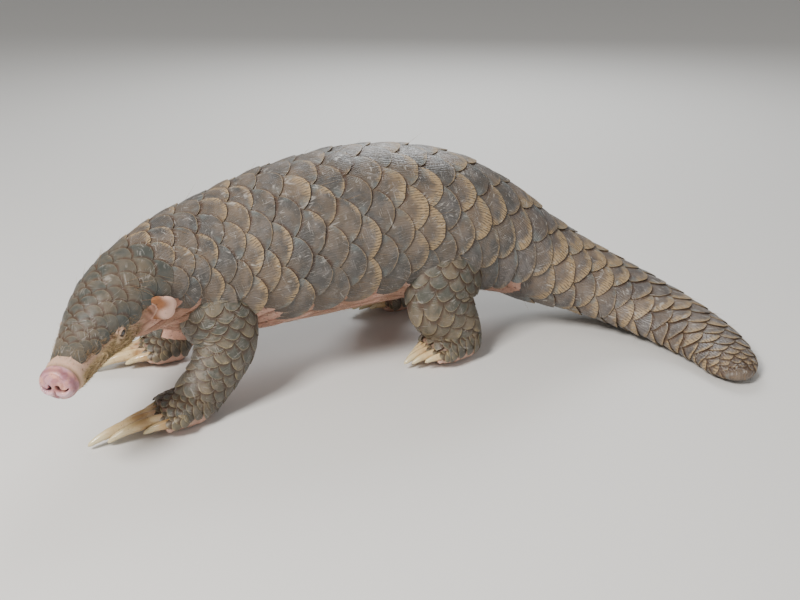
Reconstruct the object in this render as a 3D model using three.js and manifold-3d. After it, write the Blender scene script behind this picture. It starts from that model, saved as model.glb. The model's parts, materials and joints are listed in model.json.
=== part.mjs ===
// A life-size standing Chinese pangolin, as a museum shows one: an adult on four short legs, its head
// turned to its left and its broad tail laid on the floor in a curve to the same side.
// Millimetres, +Z up, the floor at Z = 0. The snout points to -X and the tail runs to +X, so the
// animal's left side is -Y. The origin lies on the floor under the middle of the whole animal.
//
// Each rounded form is a Form: a curved centre line with an oval section at each station. Head,
// trunk and tail are one Form. Its horny scales are plates raised on it in staggered rows, each with
// its root sunk to the skin under the plates before it and its free edge standing clear of the
// plates after it. The whole is parted with thin cuts into head, neck, trunk and tail lengths.
import * as THREE from "three";
import { mergeVertices } from "three/addons/utils/BufferGeometryUtils.js";
import Module from "manifold-3d";

const wasm = await Module();
wasm.setup();

// Driving dimensions.
const GAP = 0.35; // clear space between two neighbouring nodes
const ORIGIN_SHIFT = [-1.4, 81.4]; // brings the middle of the animal's box over the origin
const BIG = 2000; // side of the boxes that cut with one of their faces

// Head, trunk and tail, station by station from snout to tail tip:
// x, y, z of the centre line, then half width, height above it and depth below it.
const BODY_STATIONS = [
  [-313, -124, 88, 13.9, 13.3, 13.3], // snout tip
  [-299, -108, 93, 15.5, 14.5, 14],
  [-284, -90, 100, 20, 18.5, 17.5],
  [-267, -72, 108, 27, 25, 24], // eyes
  [-246, -53, 115, 34, 31.5, 31], // ears
  [-217, -33, 120, 40, 38, 41], // neck
  [-180, -16, 120, 51, 49, 57], // shoulders
  [-128, -4, 118, 63, 62, 66], // chest
  [-60, 1, 121, 71, 73, 71],
  [10, 2, 122, 73, 77, 72], // loins
  [78, -2, 114, 71, 73, 66], // hips
  [136, -11, 96, 64, 60, 55], // rump
  [186, -27, 70, 57, 45, 42], // tail root
  [232, -55, 46, 52, 35, 28],
  [267, -97, 28, 46, 27, 19],
  [284, -150, 16.4, 39, 21, 13.5],
  [280, -205, 11.4, 31, 15.5, 9.5],
  [258, -256, 8.6, 20, 10.5, 7.5], // tail tip
];
// Where the body is parted: the end of each length, as a share of the way from snout to tail tip.
const TAIL_CUT = 0.615;
const FRONT_CUTS = [
  ["head", 0.137],
  ["neck", 0.19],
  ["trunk_front", 0.4],
  ["trunk_rear", TAIL_CUT],
];
const TAIL_CUTS = [
  ["tail_root", 0.76],
  ["tail_middle", 0.88],
];
const SNOUT_ROUND = 9; // length of the dome that closes the snout
const TAIL_ROUND = 30; // and of the one that closes the tail
const BELLY_FLAT = 0.78; // under 1 the lower half of a section is fuller than an oval

// Scales. The pitch is half the exposed width of a scale, at each share of the way from snout to
// tail tip. Neighbouring columns of scales stand one pitch apart, each a row behind the last.
const PITCH_STATIONS = [
  [0, 4.6],
  [0.03, 5.6],
  [0.07, 7.4],
  [0.12, 10.2],
  [0.17, 13.6],
  [0.25, 18],
  [0.36, 20],
  [0.56, 20.6],
  [0.63, 22.5],
  [0.7, 21.5],
  [0.78, 18.4],
  [0.87, 15],
  [0.94, 11.5],
  [1, 8],
];
// How far round from the middle of the back the scales reach, in shares of half the girth.
const COVER_STATIONS = [
  [0.03, 0.26],
  [0.07, 0.4],
  [0.1, 0.42],
  [0.135, 0.46],
  [0.19, 0.56],
  [0.27, 0.62],
  [0.5, 0.66],
  [0.58, 0.72],
  [0.64, 0.62],
  [0.7, 0.53],
  [1, 0.53],
];
const FIRST_ROW = 0.034; // share of the length where the head's cap of scales begins
const LAST_ROW = 0.99;
const UNDER_TAIL_FROM = 0.665; // where the scales under the tail begin
const END_STEP = 1.3; // from the end of a form to its first row
const BODY_COLUMNS = 10; // columns of scales and of bare skin in half a turn
const TAIL_COLUMNS = 7;
const LEG_COLUMNS = 6;
const FORELEG_SCALES = { pitch: 11, from: 0.26, to: 0.9, cover: 0.44 }; // shares of the leg's length
const HINDLEG_SCALES = { pitch: 13, from: 0.26, to: 0.9, cover: 0.46 };
const SCALE = {
  row: 0.86, // step from row to row, in pitches
  rise: 0.21, // height of the free tip above the skin, in pitches
  flank: 0.42, // height at the two sides, as a share of the tip's
  ridge: 0.68, // and on the middle line
  bulge: 0.3, // how far the free edge is rounded out
  stray: 0.045, // how far a tip strays from its even place, in pitches
};

// Eyes and ears.
const EYE = { share: 0.0745, round: 0.475, radius: 4.6, inset: 2.2 };
const LID = { radius: 5.1, thick: 1.5 };
const EAR = { share: 0.118, round: 0.485, length: 13, width: 10.5, thick: 3.4, cup: 1.8 };
const EAR_LEAN = { out: 0.62, back: 1, down: 0.5 }; // the way the flap lies from its root

// Nose pad, nostrils and mouth.
const NOSE = { radius: 14.6, depth: 8, forward: 4.5 };
const NOSTRIL = { aside: 5.8, up: 0.5, long: 3.8, high: 1.9, deep: 4 };
const MOUTH = { front: 12, back: 40, round: 0.46, groove: 1.1, lip: 2.3 };

// Legs. Each station: x, y outwards from the middle line, z, half width fore and aft, thickness
// outwards and inwards. The x of the left and right leg differ by the step.
const FORELEG_STATIONS = [
  [-160, 30, 114, 36, 22, 20],
  [-160, 46, 90, 34, 23, 20],
  [-156, 57, 62, 28, 20, 18],
  [-166, 62, 40, 23, 17.5, 17],
  [-180, 64, 22, 21, 17, 17],
  [-186, 64, 8, 19, 15, 15],
];
const HINDLEG_STATIONS = [
  [70, 34, 108, 46, 28, 22],
  [64, 52, 84, 44, 27, 22],
  [58, 62, 58, 35, 22.5, 21],
  [68, 66, 38, 28, 19.5, 19],
  [77, 67, 20, 25, 19, 19],
  [77, 67, 6, 22, 17, 17],
];
// Feet, heel to toes: x, y, z, half width, height above and depth below.
const FOREFOOT_STATIONS = [
  [-168, 64, 15, 17, 14, 17],
  [-186, 65, 16, 21, 15, 18],
  [-203, 66, 15, 22.5, 12.5, 17],
  [-216, 67, 12.5, 20.5, 9.5, 13],
];
const HINDFOOT_STATIONS = [
  [99, 67, 15, 18, 13, 17],
  [82, 68, 17, 22.5, 16, 19],
  [60, 69, 15.5, 25, 13, 17.5],
  [44, 70, 12.5, 23, 10, 13],
];
const ANKLE_Z = 29; // height of the cut between leg and foot
// Claws, from the inner to the outer toe.
const FORECLAWS = { lengths: [20, 45, 58, 48, 23], spread: 10, turn: 7, thick: 5.4, high: 6.2 };
const HINDCLAWS = { lengths: [15, 22, 25, 23, 17], spread: 9.6, turn: 8, thick: 4.6, high: 5 };
const STEPS = { foreLeft: -12, foreRight: 14, hindLeft: -8, hindRight: 12 };

// Small repeatable variation between -1 and 1, so that no two scales are quite alike.
function stray(row, column, salt = 0) {
  const wave = Math.sin(row * 12.99 + column * 78.23 + salt * 37.7) * 43758.55;
  return 2 * (wave - Math.floor(wave)) - 1;
}

// A smooth curve through rows of numbers at the given places, read at one place.
function readAt(places, rows, at) {
  const last = places.length - 1;
  let k = 0;
  while (k < last - 1 && at > places[k + 1]) k += 1;
  const span = places[k + 1] - places[k];
  const t = Math.min(Math.max((at - places[k]) / span, 0), 1);
  const slope = (i, c) => {
    const before = Math.max(i - 1, 0);
    const after = Math.min(i + 1, last);
    return (rows[after][c] - rows[before][c]) / (places[after] - places[before]);
  };
  const [a, b] = [2 * t ** 3 - 3 * t ** 2 + 1, t ** 3 - 2 * t ** 2 + t];
  const [c, d] = [3 * t ** 2 - 2 * t ** 3, t ** 3 - t ** 2];
  return rows[k].map(
    (v, i) => a * v + b * span * slope(k, i) + c * rows[k + 1][i] + d * span * slope(k + 1, i),
  );
}

function stationValue(stations, at) {
  const places = stations.map((row) => row[0]);
  return readAt(places, stations.map((row) => [row[1]]), at)[0];
}

// A rounded form round a curved centre line. crown is the direction of the middle of its scaled
// side: up on the body, outwards on a leg.
class Form {
  constructor(stations, crown, { startRound = 6, endRound = 6, flat = 1, grow = 0 } = {}) {
    this.rows = stations;
    this.crown = new THREE.Vector3(...crown);
    Object.assign(this, { startRound, endRound, flat, grow });
    this.places = [0];
    for (let i = 1; i < stations.length; i += 1) {
      const step = Math.hypot(...[0, 1, 2].map((c) => stations[i][c] - stations[i - 1][c]));
      this.places.push(this.places[i - 1] + step);
    }
    this.length = this.places[this.places.length - 1];
  }

  frame(s) {
    const here = readAt(this.places, this.rows, s);
    const reach = 1.5;
    const [s0, s1] = [Math.max(s - reach, 0), Math.min(s + reach, this.length)];
    const before = readAt(this.places, this.rows, s0);
    const after = readAt(this.places, this.rows, s1);
    const along = new THREE.Vector3(...[0, 1, 2].map((c) => after[c] - before[c])).normalize();
    const side = new THREE.Vector3().crossVectors(this.crown, along).normalize();
    const up = new THREE.Vector3().crossVectors(along, side);
    return { centre: new THREE.Vector3(here[0], here[1], here[2]), along, side, up, size: here.slice(3) };
  }

  // How much the domes at the two ends shrink the section.
  dome(s) {
    const fromStart = Math.min(s / this.startRound, 1);
    const fromEnd = Math.min((this.length - s) / this.endRound, 1);
    const least = Math.max(Math.min(fromStart, fromEnd), 0);
    return Math.sqrt(Math.max(1 - (1 - least) ** 2, 0));
  }

  // The point at angle turn from the crown, positive towards side.
  around(s, turn, frame = this.frame(s)) {
    const [wide, above, below] = frame.size.map((v) => v * this.dome(s) + this.grow);
    const c = Math.cos(turn);
    const high = c >= 0 ? above * c : -below * Math.abs(c) ** this.flat;
    return frame.centre
      .clone()
      .addScaledVector(frame.side, wide * Math.sin(turn))
      .addScaledVector(frame.up, high);
  }

  // The point at an arc length in millimetres round from the crown, at most a whole girth either way.
  at(place, arc) {
    const s = Math.min(Math.max(place, 1), this.length - 1);
    const frame = this.frame(s);
    const steps = 48;
    let gone = 0;
    let last = this.around(s, 0, frame);
    const sign = arc < 0 ? -1 : 1;
    for (let i = 1; i <= 2 * steps; i += 1) {
      const next = this.around(s, (sign * i * Math.PI) / steps, frame);
      const step = next.distanceTo(last);
      if (gone + step >= Math.abs(arc)) return last.lerp(next, (Math.abs(arc) - gone) / step);
      gone += step;
      last = next;
    }
    return last;
  }

  halfGirth(s) {
    const frame = this.frame(s);
    const steps = 24;
    let total = 0;
    for (let i = 0; i < steps; i += 1) {
      const here = this.around(s, (i * Math.PI) / steps, frame);
      total += here.distanceTo(this.around(s, ((i + 1) * Math.PI) / steps, frame));
    }
    return total;
  }

  normal(s, arc) {
    const reach = 1;
    const middle = Math.min(Math.max(s, 1 + reach), this.length - 1 - reach);
    const alongStep = this.at(middle + reach, arc).sub(this.at(middle - reach, arc));
    const acrossStep = this.at(middle, arc + reach).sub(this.at(middle, arc - reach));
    return alongStep.cross(acrossStep).normalize();
  }

  raised(s, arc, height) {
    return this.at(s, arc).addScaledVector(this.normal(s, arc), height);
  }

  // The closed surface, with rings at the given places.
  geometry(rings, sides) {
    const points = [];
    const faces = [];
    rings.forEach((s) => {
      const frame = this.frame(s);
      for (let j = 0; j < sides; j += 1) points.push(this.around(s, (j * 2 * Math.PI) / sides, frame));
    });
    const start = points.push(this.frame(0).centre) - 1;
    const end = points.push(this.frame(this.length).centre) - 1;
    for (let j = 0; j < sides; j += 1) {
      const k = (j + 1) % sides;
      faces.push(start, k, j);
      const top = (rings.length - 1) * sides;
      faces.push(end, top + j, top + k);
      for (let i = 0; i < rings.length - 1; i += 1) {
        const [a, b] = [i * sides, (i + 1) * sides];
        faces.push(a + j, a + k, b + j, a + k, b + k, b + j);
      }
    }
    return geometryOf(points, faces);
  }
}

function geometryOf(points, faces) {
  return new THREE.BufferGeometry()
    .setAttribute("position", new THREE.Float32BufferAttribute(points.flatMap((p) => p.toArray()), 3))
    .setIndex(faces);
}

// Rings close together in the domes and a step apart between them.
function ringPlaces(form, step) {
  const rings = [];
  for (const part of [0.12, 0.45]) rings.push(form.startRound * part);
  const inner = form.length - form.startRound - form.endRound;
  const count = Math.max(Math.round(inner / step), 1);
  for (let i = 0; i <= count; i += 1) rings.push(form.startRound + (inner * i) / count);
  for (const part of [0.45, 0.12]) rings.push(form.length - form.endRound * part);
  return rings;
}

// Joining and cutting.
function solid(geometry) {
  const bare = geometry.clone();
  bare.deleteAttribute("normal");
  bare.deleteAttribute("uv");
  const merged = mergeVertices(bare, 1e-4);
  const mesh = new wasm.Mesh({
    numProp: 3,
    vertProperties: merged.attributes.position.array,
    triVerts: new Uint32Array(merged.index.array),
  });
  const made = new wasm.Manifold(mesh);
  if (made.volume() > 0) return made;
  const flipped = new Uint32Array(merged.index.array);
  for (let i = 0; i < flipped.length; i += 3) [flipped[i], flipped[i + 1]] = [flipped[i + 1], flipped[i]];
  return new wasm.Manifold(
    new wasm.Mesh({ numProp: 3, vertProperties: merged.attributes.position.array, triVerts: flipped }),
  );
}

function join(solids) {
  if (solids.length === 1) return solids[0];
  const half = Math.ceil(solids.length / 2);
  return join(solids.slice(0, half)).add(join(solids.slice(half)));
}

function largest(made) {
  return made.decompose().reduce((a, b) => (b.volume() > a.volume() ? b : a));
}

// Everything on the far side of a plane through point, along the direction away.
function beyond(point, away) {
  const box = new THREE.BoxGeometry(BIG, BIG, BIG).translate(0, 0, BIG / 2);
  const turn = new THREE.Quaternion().setFromUnitVectors(new THREE.Vector3(0, 0, 1), away);
  return solid(box.applyQuaternion(turn).translate(point.x, point.y, point.z));
}

// Parts a solid at a plane into what lies before it and what lies beyond, a gap apart.
function part(made, point, away) {
  const near = point.clone().addScaledVector(away, -GAP / 2);
  const far = point.clone().addScaledVector(away, GAP / 2);
  return [made.subtract(beyond(near, away)), made.intersect(beyond(far, away))];
}

function ellipsoid(centre, radii, axes, detail = 10) {
  const made = new THREE.SphereGeometry(1, detail, Math.round(detail * 0.7)).scale(...radii);
  const place = new THREE.Matrix4().makeBasis(...axes).setPosition(centre);
  return solid(made.applyMatrix4(place));
}

// A thin rod along a curve, used for lips, lids and the line of the mouth.
function rod(points, radius, steps, closed = false) {
  const sides = 6;
  const outline = new THREE.Shape();
  for (let i = 0; i < sides; i += 1) {
    const turn = (i * 2 * Math.PI) / sides;
    outline[i ? "lineTo" : "moveTo"](radius * Math.cos(turn), radius * Math.sin(turn));
  }
  outline.closePath();
  const extrudePath = new THREE.CatmullRomCurve3(points, closed);
  return solid(new THREE.ExtrudeGeometry(outline, { steps, extrudePath }));
}

// The places of the rows along a form, from just inside one end to just inside the other.
function places(form, pitchAt) {
  const stops = [];
  for (let s = END_STEP; s < form.length - END_STEP; s += SCALE.row * pitchAt(s / form.length)) {
    stops.push(s);
  }
  return stops;
}

// The rows of a plated form: each with its place, pitch, the arc of every column and the height of
// every tip. The columns are a pitch apart as far as the scales reach, and spread evenly below.
function plateRows(form, stops, columns, { pitchAt, coverAt, scaledAt }) {
  return stops.map((s, i) => {
    const share = s / form.length;
    const half = form.halfGirth(s);
    const pitch = pitchAt(share);
    const reach = coverAt(share) * half;
    const covered = reach / pitch;
    const arcTo = (column) =>
      column <= covered
        ? column * pitch
        : reach + ((column - covered) * (half - reach)) / (columns - covered);
    const arcs = [];
    const rise = [];
    for (let c = 0; c <= 2 * columns; c += 1) {
      const fromTop = Math.min(c, 2 * columns - c);
      arcs.push(c <= columns ? arcTo(c) : 2 * half - arcTo(fromTop));
      const scaled = (i + c) % 2 === 0 && scaledAt(share, arcTo(fromTop) <= reach);
      rise.push(scaled ? SCALE.rise * pitch * (1 + 0.12 * stray(i, c, 2)) : 0);
    }
    return { s, pitch, arcs, rise };
  });
}

// A form's closed surface as a net of staggered plates. Every other column has a point in each row,
// and a plate hangs between four of them: its root two rows up, a flank in the row before on each
// side, and its own free tip. Three plates meet at a point, one over the other, so a raised point
// has three levels: the tip of one plate, the flanks of the next two and the root of the last.
function plated(form, rows, columns, { grow = 0, smooth = false, first = 0, last = rows.length - 1 } = {}) {
  const points = [];
  const faces = [];
  const count = 2 * columns;
  const around = (column) => (column + count) % count;
  const put = (s, arc, height) => points.push(form.raised(s, arc, height + grow)) - 1;

  // A point's place and height, with its column counted past either end of the row.
  function spot(i, column) {
    const { s, arcs, pitch, rise } = rows[i];
    const c = around(column);
    const high = i > first + 1 && i < last ? rise[c] : 0;
    const wander = high ? SCALE.stray * pitch : 0;
    const turns = (column - c) / count;
    return {
      s: s + wander * stray(i, c),
      arc: arcs[c] + turns * arcs[count] + wander * stray(i, c, 1),
      high,
    };
  }
  const levels = {};
  function at(i, column) {
    const key = i * count + around(column);
    if (levels[key]) return levels[key];
    const { s, arc, high } = spot(i, around(column));
    const tip = put(s, arc, high);
    const [flank, root] = high && !smooth ? [put(s, arc, SCALE.flank * high), put(s, arc, 0)] : [tip, tip];
    levels[key] = { tip, flank, root };
    return levels[key];
  }

  // The rounded middle of a plate's free edge on one side, above and below its step.
  const edges = {};
  function edge(i, column, towards) {
    const key = `${i} ${around(column)} ${towards}`;
    const tip = spot(i, column);
    if (!tip.high) return {};
    if (edges[key]) return edges[key];
    const side = spot(i - 1, column + towards);
    const root = spot(i - 2, column);
    const [s, arc] = ["s", "arc"].map((c) => {
      const middle = (tip[c] + root[c]) / 2;
      return middle + (1 + SCALE.bulge) * ((tip[c] + side[c]) / 2 - middle);
    });
    const upper = put(s, arc, smooth ? tip.high : (tip.high * (1 + SCALE.flank)) / 2);
    edges[key] = { upper, lower: smooth ? upper : put(s, arc, (tip.high * SCALE.flank) / 2) };
    return edges[key];
  }

  function fan(hub, rim) {
    rim.forEach((p, k) => {
      const q = rim[(k + 1) % rim.length];
      if (hub !== p && hub !== q && p !== q) faces.push(hub, p, q);
    });
  }
  const known = (list) => list.filter((p) => p !== undefined);

  function plate(i, c) {
    const [before, after] = [i > first + 1, i <= last];
    const rim = known([
      after ? at(i, c).tip : undefined,
      after ? edge(i, c, 1).upper : undefined,
      at(i - 1, c + 1).flank,
      edge(i - 1, c + 1, -1).lower,
      before ? at(i - 2, c).root : undefined,
      edge(i - 1, c - 1, 1).lower,
      at(i - 1, c - 1).flank,
      after ? edge(i, c, -1).upper : undefined,
    ]);
    const high = after ? spot(i, c).high : 0;
    if (!high) return fan(rim[0], rim);
    const [tip, root] = [spot(i, c), spot(i - 2, c)];
    return fan(put((tip.s + root.s) / 2, (tip.arc + root.arc) / 2, (smooth ? 1 : SCALE.ridge) * high), rim);
  }

  // The step down from a plate's free edge to the plates under it, on one side.
  function step(i, c, towards) {
    const [tip, side, middle] = [at(i, c), at(i - 1, c + towards), edge(i, c, towards)];
    const top = known([tip.tip, middle.upper, side.flank]);
    const foot = known([tip.flank, middle.lower, side.root]);
    for (let k = 0; k + 1 < top.length; k += 1) {
      const wall = [top[k + 1], top[k], foot[k], foot[k + 1]];
      if (towards < 0) wall.reverse();
      fan(wall[0], wall);
    }
  }

  for (let i = first + 1; i <= last + 1; i += 1) {
    for (let c = i % 2; c < count; c += 2) {
      plate(i, c);
      if (i <= last) [-1, 1].forEach((towards) => step(i, c, towards));
    }
  }
  // The two ends.
  const start = form.frame(Math.max(rows[first].s - END_STEP, 0));
  const end = form.frame(Math.min(rows[last].s + END_STEP, form.length));
  const startHub = points.push(start.centre.addScaledVector(start.along, -grow)) - 1;
  const endHub = points.push(end.centre.addScaledVector(end.along, grow)) - 1;
  for (let c = first % 2; c < count; c += 2) faces.push(startHub, at(first, c).tip, at(first, c + 2).tip);
  for (let c = last % 2; c < count; c += 2) faces.push(endHub, at(last, c + 2).tip, at(last, c).tip);
  return geometryOf(points, faces);
}

// Claws: slightly hooked cones, deeper than wide, that leave the toes and bend to the floor.
function claws(foot, set, outward, grow) {
  const tip = foot.frame(foot.length);
  return set.lengths.map((long, k) => {
    const aside = (k - 2) * outward;
    const turn = THREE.MathUtils.degToRad(aside * set.turn);
    const forward = tip.along.clone().applyAxisAngle(new THREE.Vector3(0, 0, 1), turn * -1);
    const root = tip.centre.clone();
    root.y += aside * set.spread * -1;
    root.x -= tip.along.x * (9 + 3 * Math.abs(k - 2));
    const size = 0.62 + (0.38 * long) / Math.max(...set.lengths);
    const bend = [
      [0, 0, 1],
      [0.35, 1.5, 0.95],
      [0.7, -1.5, 0.72],
      [0.92, -6.5, 0.45],
      [1, -9.5, 0.24],
    ];
    const rows = bend.map(([u, rise, thick]) => {
      const p = root.clone().addScaledVector(forward, u * (long + 12));
      const z = root.z + rise * Math.min(long / 40, 0.9);
      return [p.x, p.y, z, set.thick * thick * size, set.high * thick * size, set.high * thick * size];
    });
    const form = new Form(rows, [0, 0, 1], { startRound: 3, endRound: 3, grow });
    return solid(form.geometry(ringPlaces(form, 18), 6));
  });
}

// A whole leg with its foot, before it is cut at the ankle. side is -1 for left and 1 for right.
// A grown leg, smooth over its scales, is the pocket that the leg stands in.
function wholeLeg(kind, side, step, grow = 0) {
  const fore = kind === "fore";
  const legRows = fore ? FORELEG_STATIONS : HINDLEG_STATIONS;
  const footRows = fore ? FOREFOOT_STATIONS : HINDFOOT_STATIONS;
  const { pitch, from, to, cover } = fore ? FORELEG_SCALES : HINDLEG_SCALES;
  const rest = legRows.length - 1;
  const leg = new Form(
    legRows.map(([x, y, ...more], i) => [x + (step * i) / rest, side * y, ...more]),
    [0, side, 0],
    { startRound: 12, endRound: 5 },
  );
  const foot = new Form(
    footRows.map(([x, y, ...more]) => [x + step, side * y, ...more]),
    [0, 0, 1],
    { startRound: 9, endRound: 8, grow },
  );
  const rows = plateRows(leg, places(leg, () => pitch), LEG_COLUMNS, {
    pitchAt: () => pitch,
    coverAt: () => cover,
    scaledAt: (share, covered) => covered && share > from && share < to,
  });
  return join([
    solid(plated(leg, rows, LEG_COLUMNS, { grow, smooth: grow > 0 })),
    solid(foot.geometry(ringPlaces(foot, 16), 12)),
    ...claws(foot, fore ? FORECLAWS : HINDCLAWS, side, grow),
  ]);
}

const FLOOR = new THREE.Vector3(0, 0, 0);
const DOWN = new THREE.Vector3(0, 0, -1);
const aboveFloor = (made) => made.subtract(beyond(FLOOR, DOWN));

// The flesh and scales of head, trunk and tail.
const body = new Form(BODY_STATIONS, [0, 0, 1], {
  startRound: SNOUT_ROUND,
  endRound: TAIL_ROUND,
  flat: BELLY_FLAT,
});
const bodyPitch = (share) => stationValue(PITCH_STATIONS, share);
const bodyStops = places(body, bodyPitch);
const tailStart = bodyStops.findIndex((s) => s > TAIL_CUT * body.length);

// The length of body between two rows, closed at both ends.
function bodyLength(columns, first, last) {
  const rows = plateRows(body, bodyStops, columns, {
    pitchAt: bodyPitch,
    coverAt: (share) => stationValue(COVER_STATIONS, share),
    scaledAt: (share, covered) =>
      share > FIRST_ROW && share < LAST_ROW && (covered || share > UNDER_TAIL_FROM),
  });
  return solid(plated(body, rows, columns, { first, last }));
}
let whole = bodyLength(BODY_COLUMNS, 0, tailStart + 3);
const tail = bodyLength(TAIL_COLUMNS, tailStart - 4, bodyStops.length - 1);

// Nose pad at the tip of the snout, with its two nostrils.
const snout = body.frame(NOSE.forward);
const noseAxes = [snout.side, snout.up, snout.along];
whole = whole.add(ellipsoid(snout.centre, [NOSE.radius, NOSE.radius * 0.94, NOSE.depth], noseAxes, 12));
for (const side of [-1, 1]) {
  const centre = body
    .frame(0)
    .centre.clone()
    .addScaledVector(snout.side, side * NOSTRIL.aside)
    .addScaledVector(snout.up, NOSTRIL.up)
    .addScaledVector(snout.along, NOSE.forward - NOSE.depth * 0.92);
  whole = whole.subtract(ellipsoid(centre, [NOSTRIL.long, NOSTRIL.high, NOSTRIL.deep], noseAxes, 8));
}

// Mouth: two low lips under the snout and the line between them.
function mouthPath(shift, height) {
  const points = [];
  for (let t = -1; t <= 1.001; t += 0.25) {
    const s = MOUTH.front + (MOUTH.back - MOUTH.front) * t * t + shift;
    const half = body.halfGirth(s);
    const arc = half * (1 - MOUTH.round * Math.abs(t));
    points.push(body.raised(s, t < 0 ? -arc : arc, height));
  }
  return points;
}
const lipShift = MOUTH.lip * 0.9;
whole = join([
  whole,
  rod(mouthPath(-lipShift, -MOUTH.lip * 0.55), MOUTH.lip, 16),
  rod(mouthPath(lipShift, -MOUTH.lip * 0.55), MOUTH.lip, 16),
]).subtract(rod(mouthPath(0, 0.4), MOUTH.groove, 16));

// Eyes in their sockets, each with a raised ring of lid, and cupped ears.
const eyes = [];
const ears = [];
for (const side of [-1, 1]) {
  const s = EYE.share * body.length;
  const arc = side * EYE.round * body.halfGirth(s);
  const out = body.normal(s, arc);
  const centre = body.at(s, arc).addScaledVector(out, -EYE.inset);
  const turn = new THREE.Quaternion().setFromUnitVectors(new THREE.Vector3(0, 0, 1), out);
  const lidRing = new THREE.TorusGeometry(LID.radius, LID.thick, 6, 12);
  const rim = body.at(s, arc).addScaledVector(out, 0.3);
  whole = whole.add(solid(lidRing.applyQuaternion(turn).translate(rim.x, rim.y, rim.z)));
  const ball = (radius) =>
    solid(new THREE.SphereGeometry(radius, 10, 8).translate(centre.x, centre.y, centre.z));
  whole = whole.subtract(ball(EYE.radius + GAP));
  eyes.push(ball(EYE.radius));

  const earS = EAR.share * body.length;
  const earArc = side * EAR.round * body.halfGirth(earS);
  const frame = body.frame(earS);
  const outwards = body.normal(earS, earArc);
  const long = outwards
    .clone()
    .multiplyScalar(EAR_LEAN.out)
    .addScaledVector(frame.along, EAR_LEAN.back)
    .addScaledVector(frame.up, -EAR_LEAN.down)
    .normalize();
  const facing = new THREE.Vector3().crossVectors(long, frame.up).multiplyScalar(-side).normalize();
  const across = new THREE.Vector3().crossVectors(facing, long);
  const middle = body.at(earS, earArc).addScaledVector(long, EAR.length * 0.55);
  const flap = (grow) =>
    ellipsoid(middle, [EAR.length + grow, EAR.width + grow, EAR.thick + grow], [long, across, facing], 12);
  const hollow = middle.clone().addScaledVector(facing, EAR.cup + 1.4).addScaledVector(long, 2);
  const cupSize = [EAR.length * 0.72, EAR.width * 0.74, EAR.cup + 0.6];
  const cup = ellipsoid(hollow, cupSize, [long, across, facing], 10);
  ears.push(flap(0).subtract(cup));
  whole = whole.subtract(flap(GAP));
}

// Legs stand in pockets of the trunk, a gap clear of it all round.
const legs = {};
for (const [name, side, step] of [
  ["foreleg_left", -1, STEPS.foreLeft],
  ["foreleg_right", 1, STEPS.foreRight],
  ["hindleg_left", -1, STEPS.hindLeft],
  ["hindleg_right", 1, STEPS.hindRight],
]) {
  const kind = name.startsWith("fore") ? "fore" : "hind";
  const made = aboveFloor(wholeLeg(kind, side, step));
  whole = whole.subtract(wholeLeg(kind, side, step, GAP));
  const [upper, lower] = part(made, new THREE.Vector3(0, 0, ANKLE_Z), DOWN);
  legs[name] = largest(upper);
  legs[name.replace("leg", "foot")] = largest(lower);
}
// Thin cuts across the body.
const parts = {};
function cutAt(made, share) {
  const { centre, along } = body.frame(share * body.length);
  return part(made, centre, along);
}
let rest = aboveFloor(whole);
for (const [name, share] of FRONT_CUTS) {
  const [near, far] = cutAt(rest, share);
  parts[name] = largest(near);
  rest = far;
}
rest = cutAt(aboveFloor(tail), TAIL_CUT)[1];
for (const [name, share] of TAIL_CUTS) {
  const [near, far] = cutAt(rest, share);
  parts[name] = largest(near);
  rest = far;
}
parts.tail_tip = largest(rest);
[parts.ear_left, parts.ear_right] = ears.map(largest);
[parts.eye_left, parts.eye_right] = eyes;
Object.assign(parts, legs);

// Materials, and the named meshes.
const horn = new THREE.MeshStandardMaterial({ color: 0x6f665c, roughness: 0.6 });
const skin = new THREE.MeshStandardMaterial({ color: 0xd9a794, roughness: 0.7 });
const eye = new THREE.MeshStandardMaterial({ color: 0x15110e, roughness: 0.1 });
const materials = { ear_left: skin, ear_right: skin, eye_left: eye, eye_right: eye };

const pangolin = new THREE.Group();
for (const [name, made] of Object.entries(parts)) {
  const { vertProperties, triVerts } = made.getMesh();
  const geometry = new THREE.BufferGeometry()
    .setAttribute("position", new THREE.BufferAttribute(new Float32Array(vertProperties), 3))
    .setIndex(new THREE.BufferAttribute(new Uint32Array(triVerts), 1));
  const mesh = new THREE.Mesh(geometry, materials[name] ?? horn);
  mesh.name = name;
  pangolin.add(mesh);
}
pangolin.position.set(...ORIGIN_SHIFT, 0);

export default pangolin;
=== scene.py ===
# %% [markdown]
# A standing Chinese pangolin, life size.
# A pangolin is a mammal in armour: a soft, nearly bare skin on the face, throat, belly and inner legs,
# and overlapping plates of horn everywhere else. This lesson dresses the plain solids of the animal
# with one skin, more than a thousand separate scales, claws, eyes, hair and bristles.
# The packed model is loaded first. It is the frame that every piece is measured against, and its box
# is kept so that the finished animal can be compared with it at the end.

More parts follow.
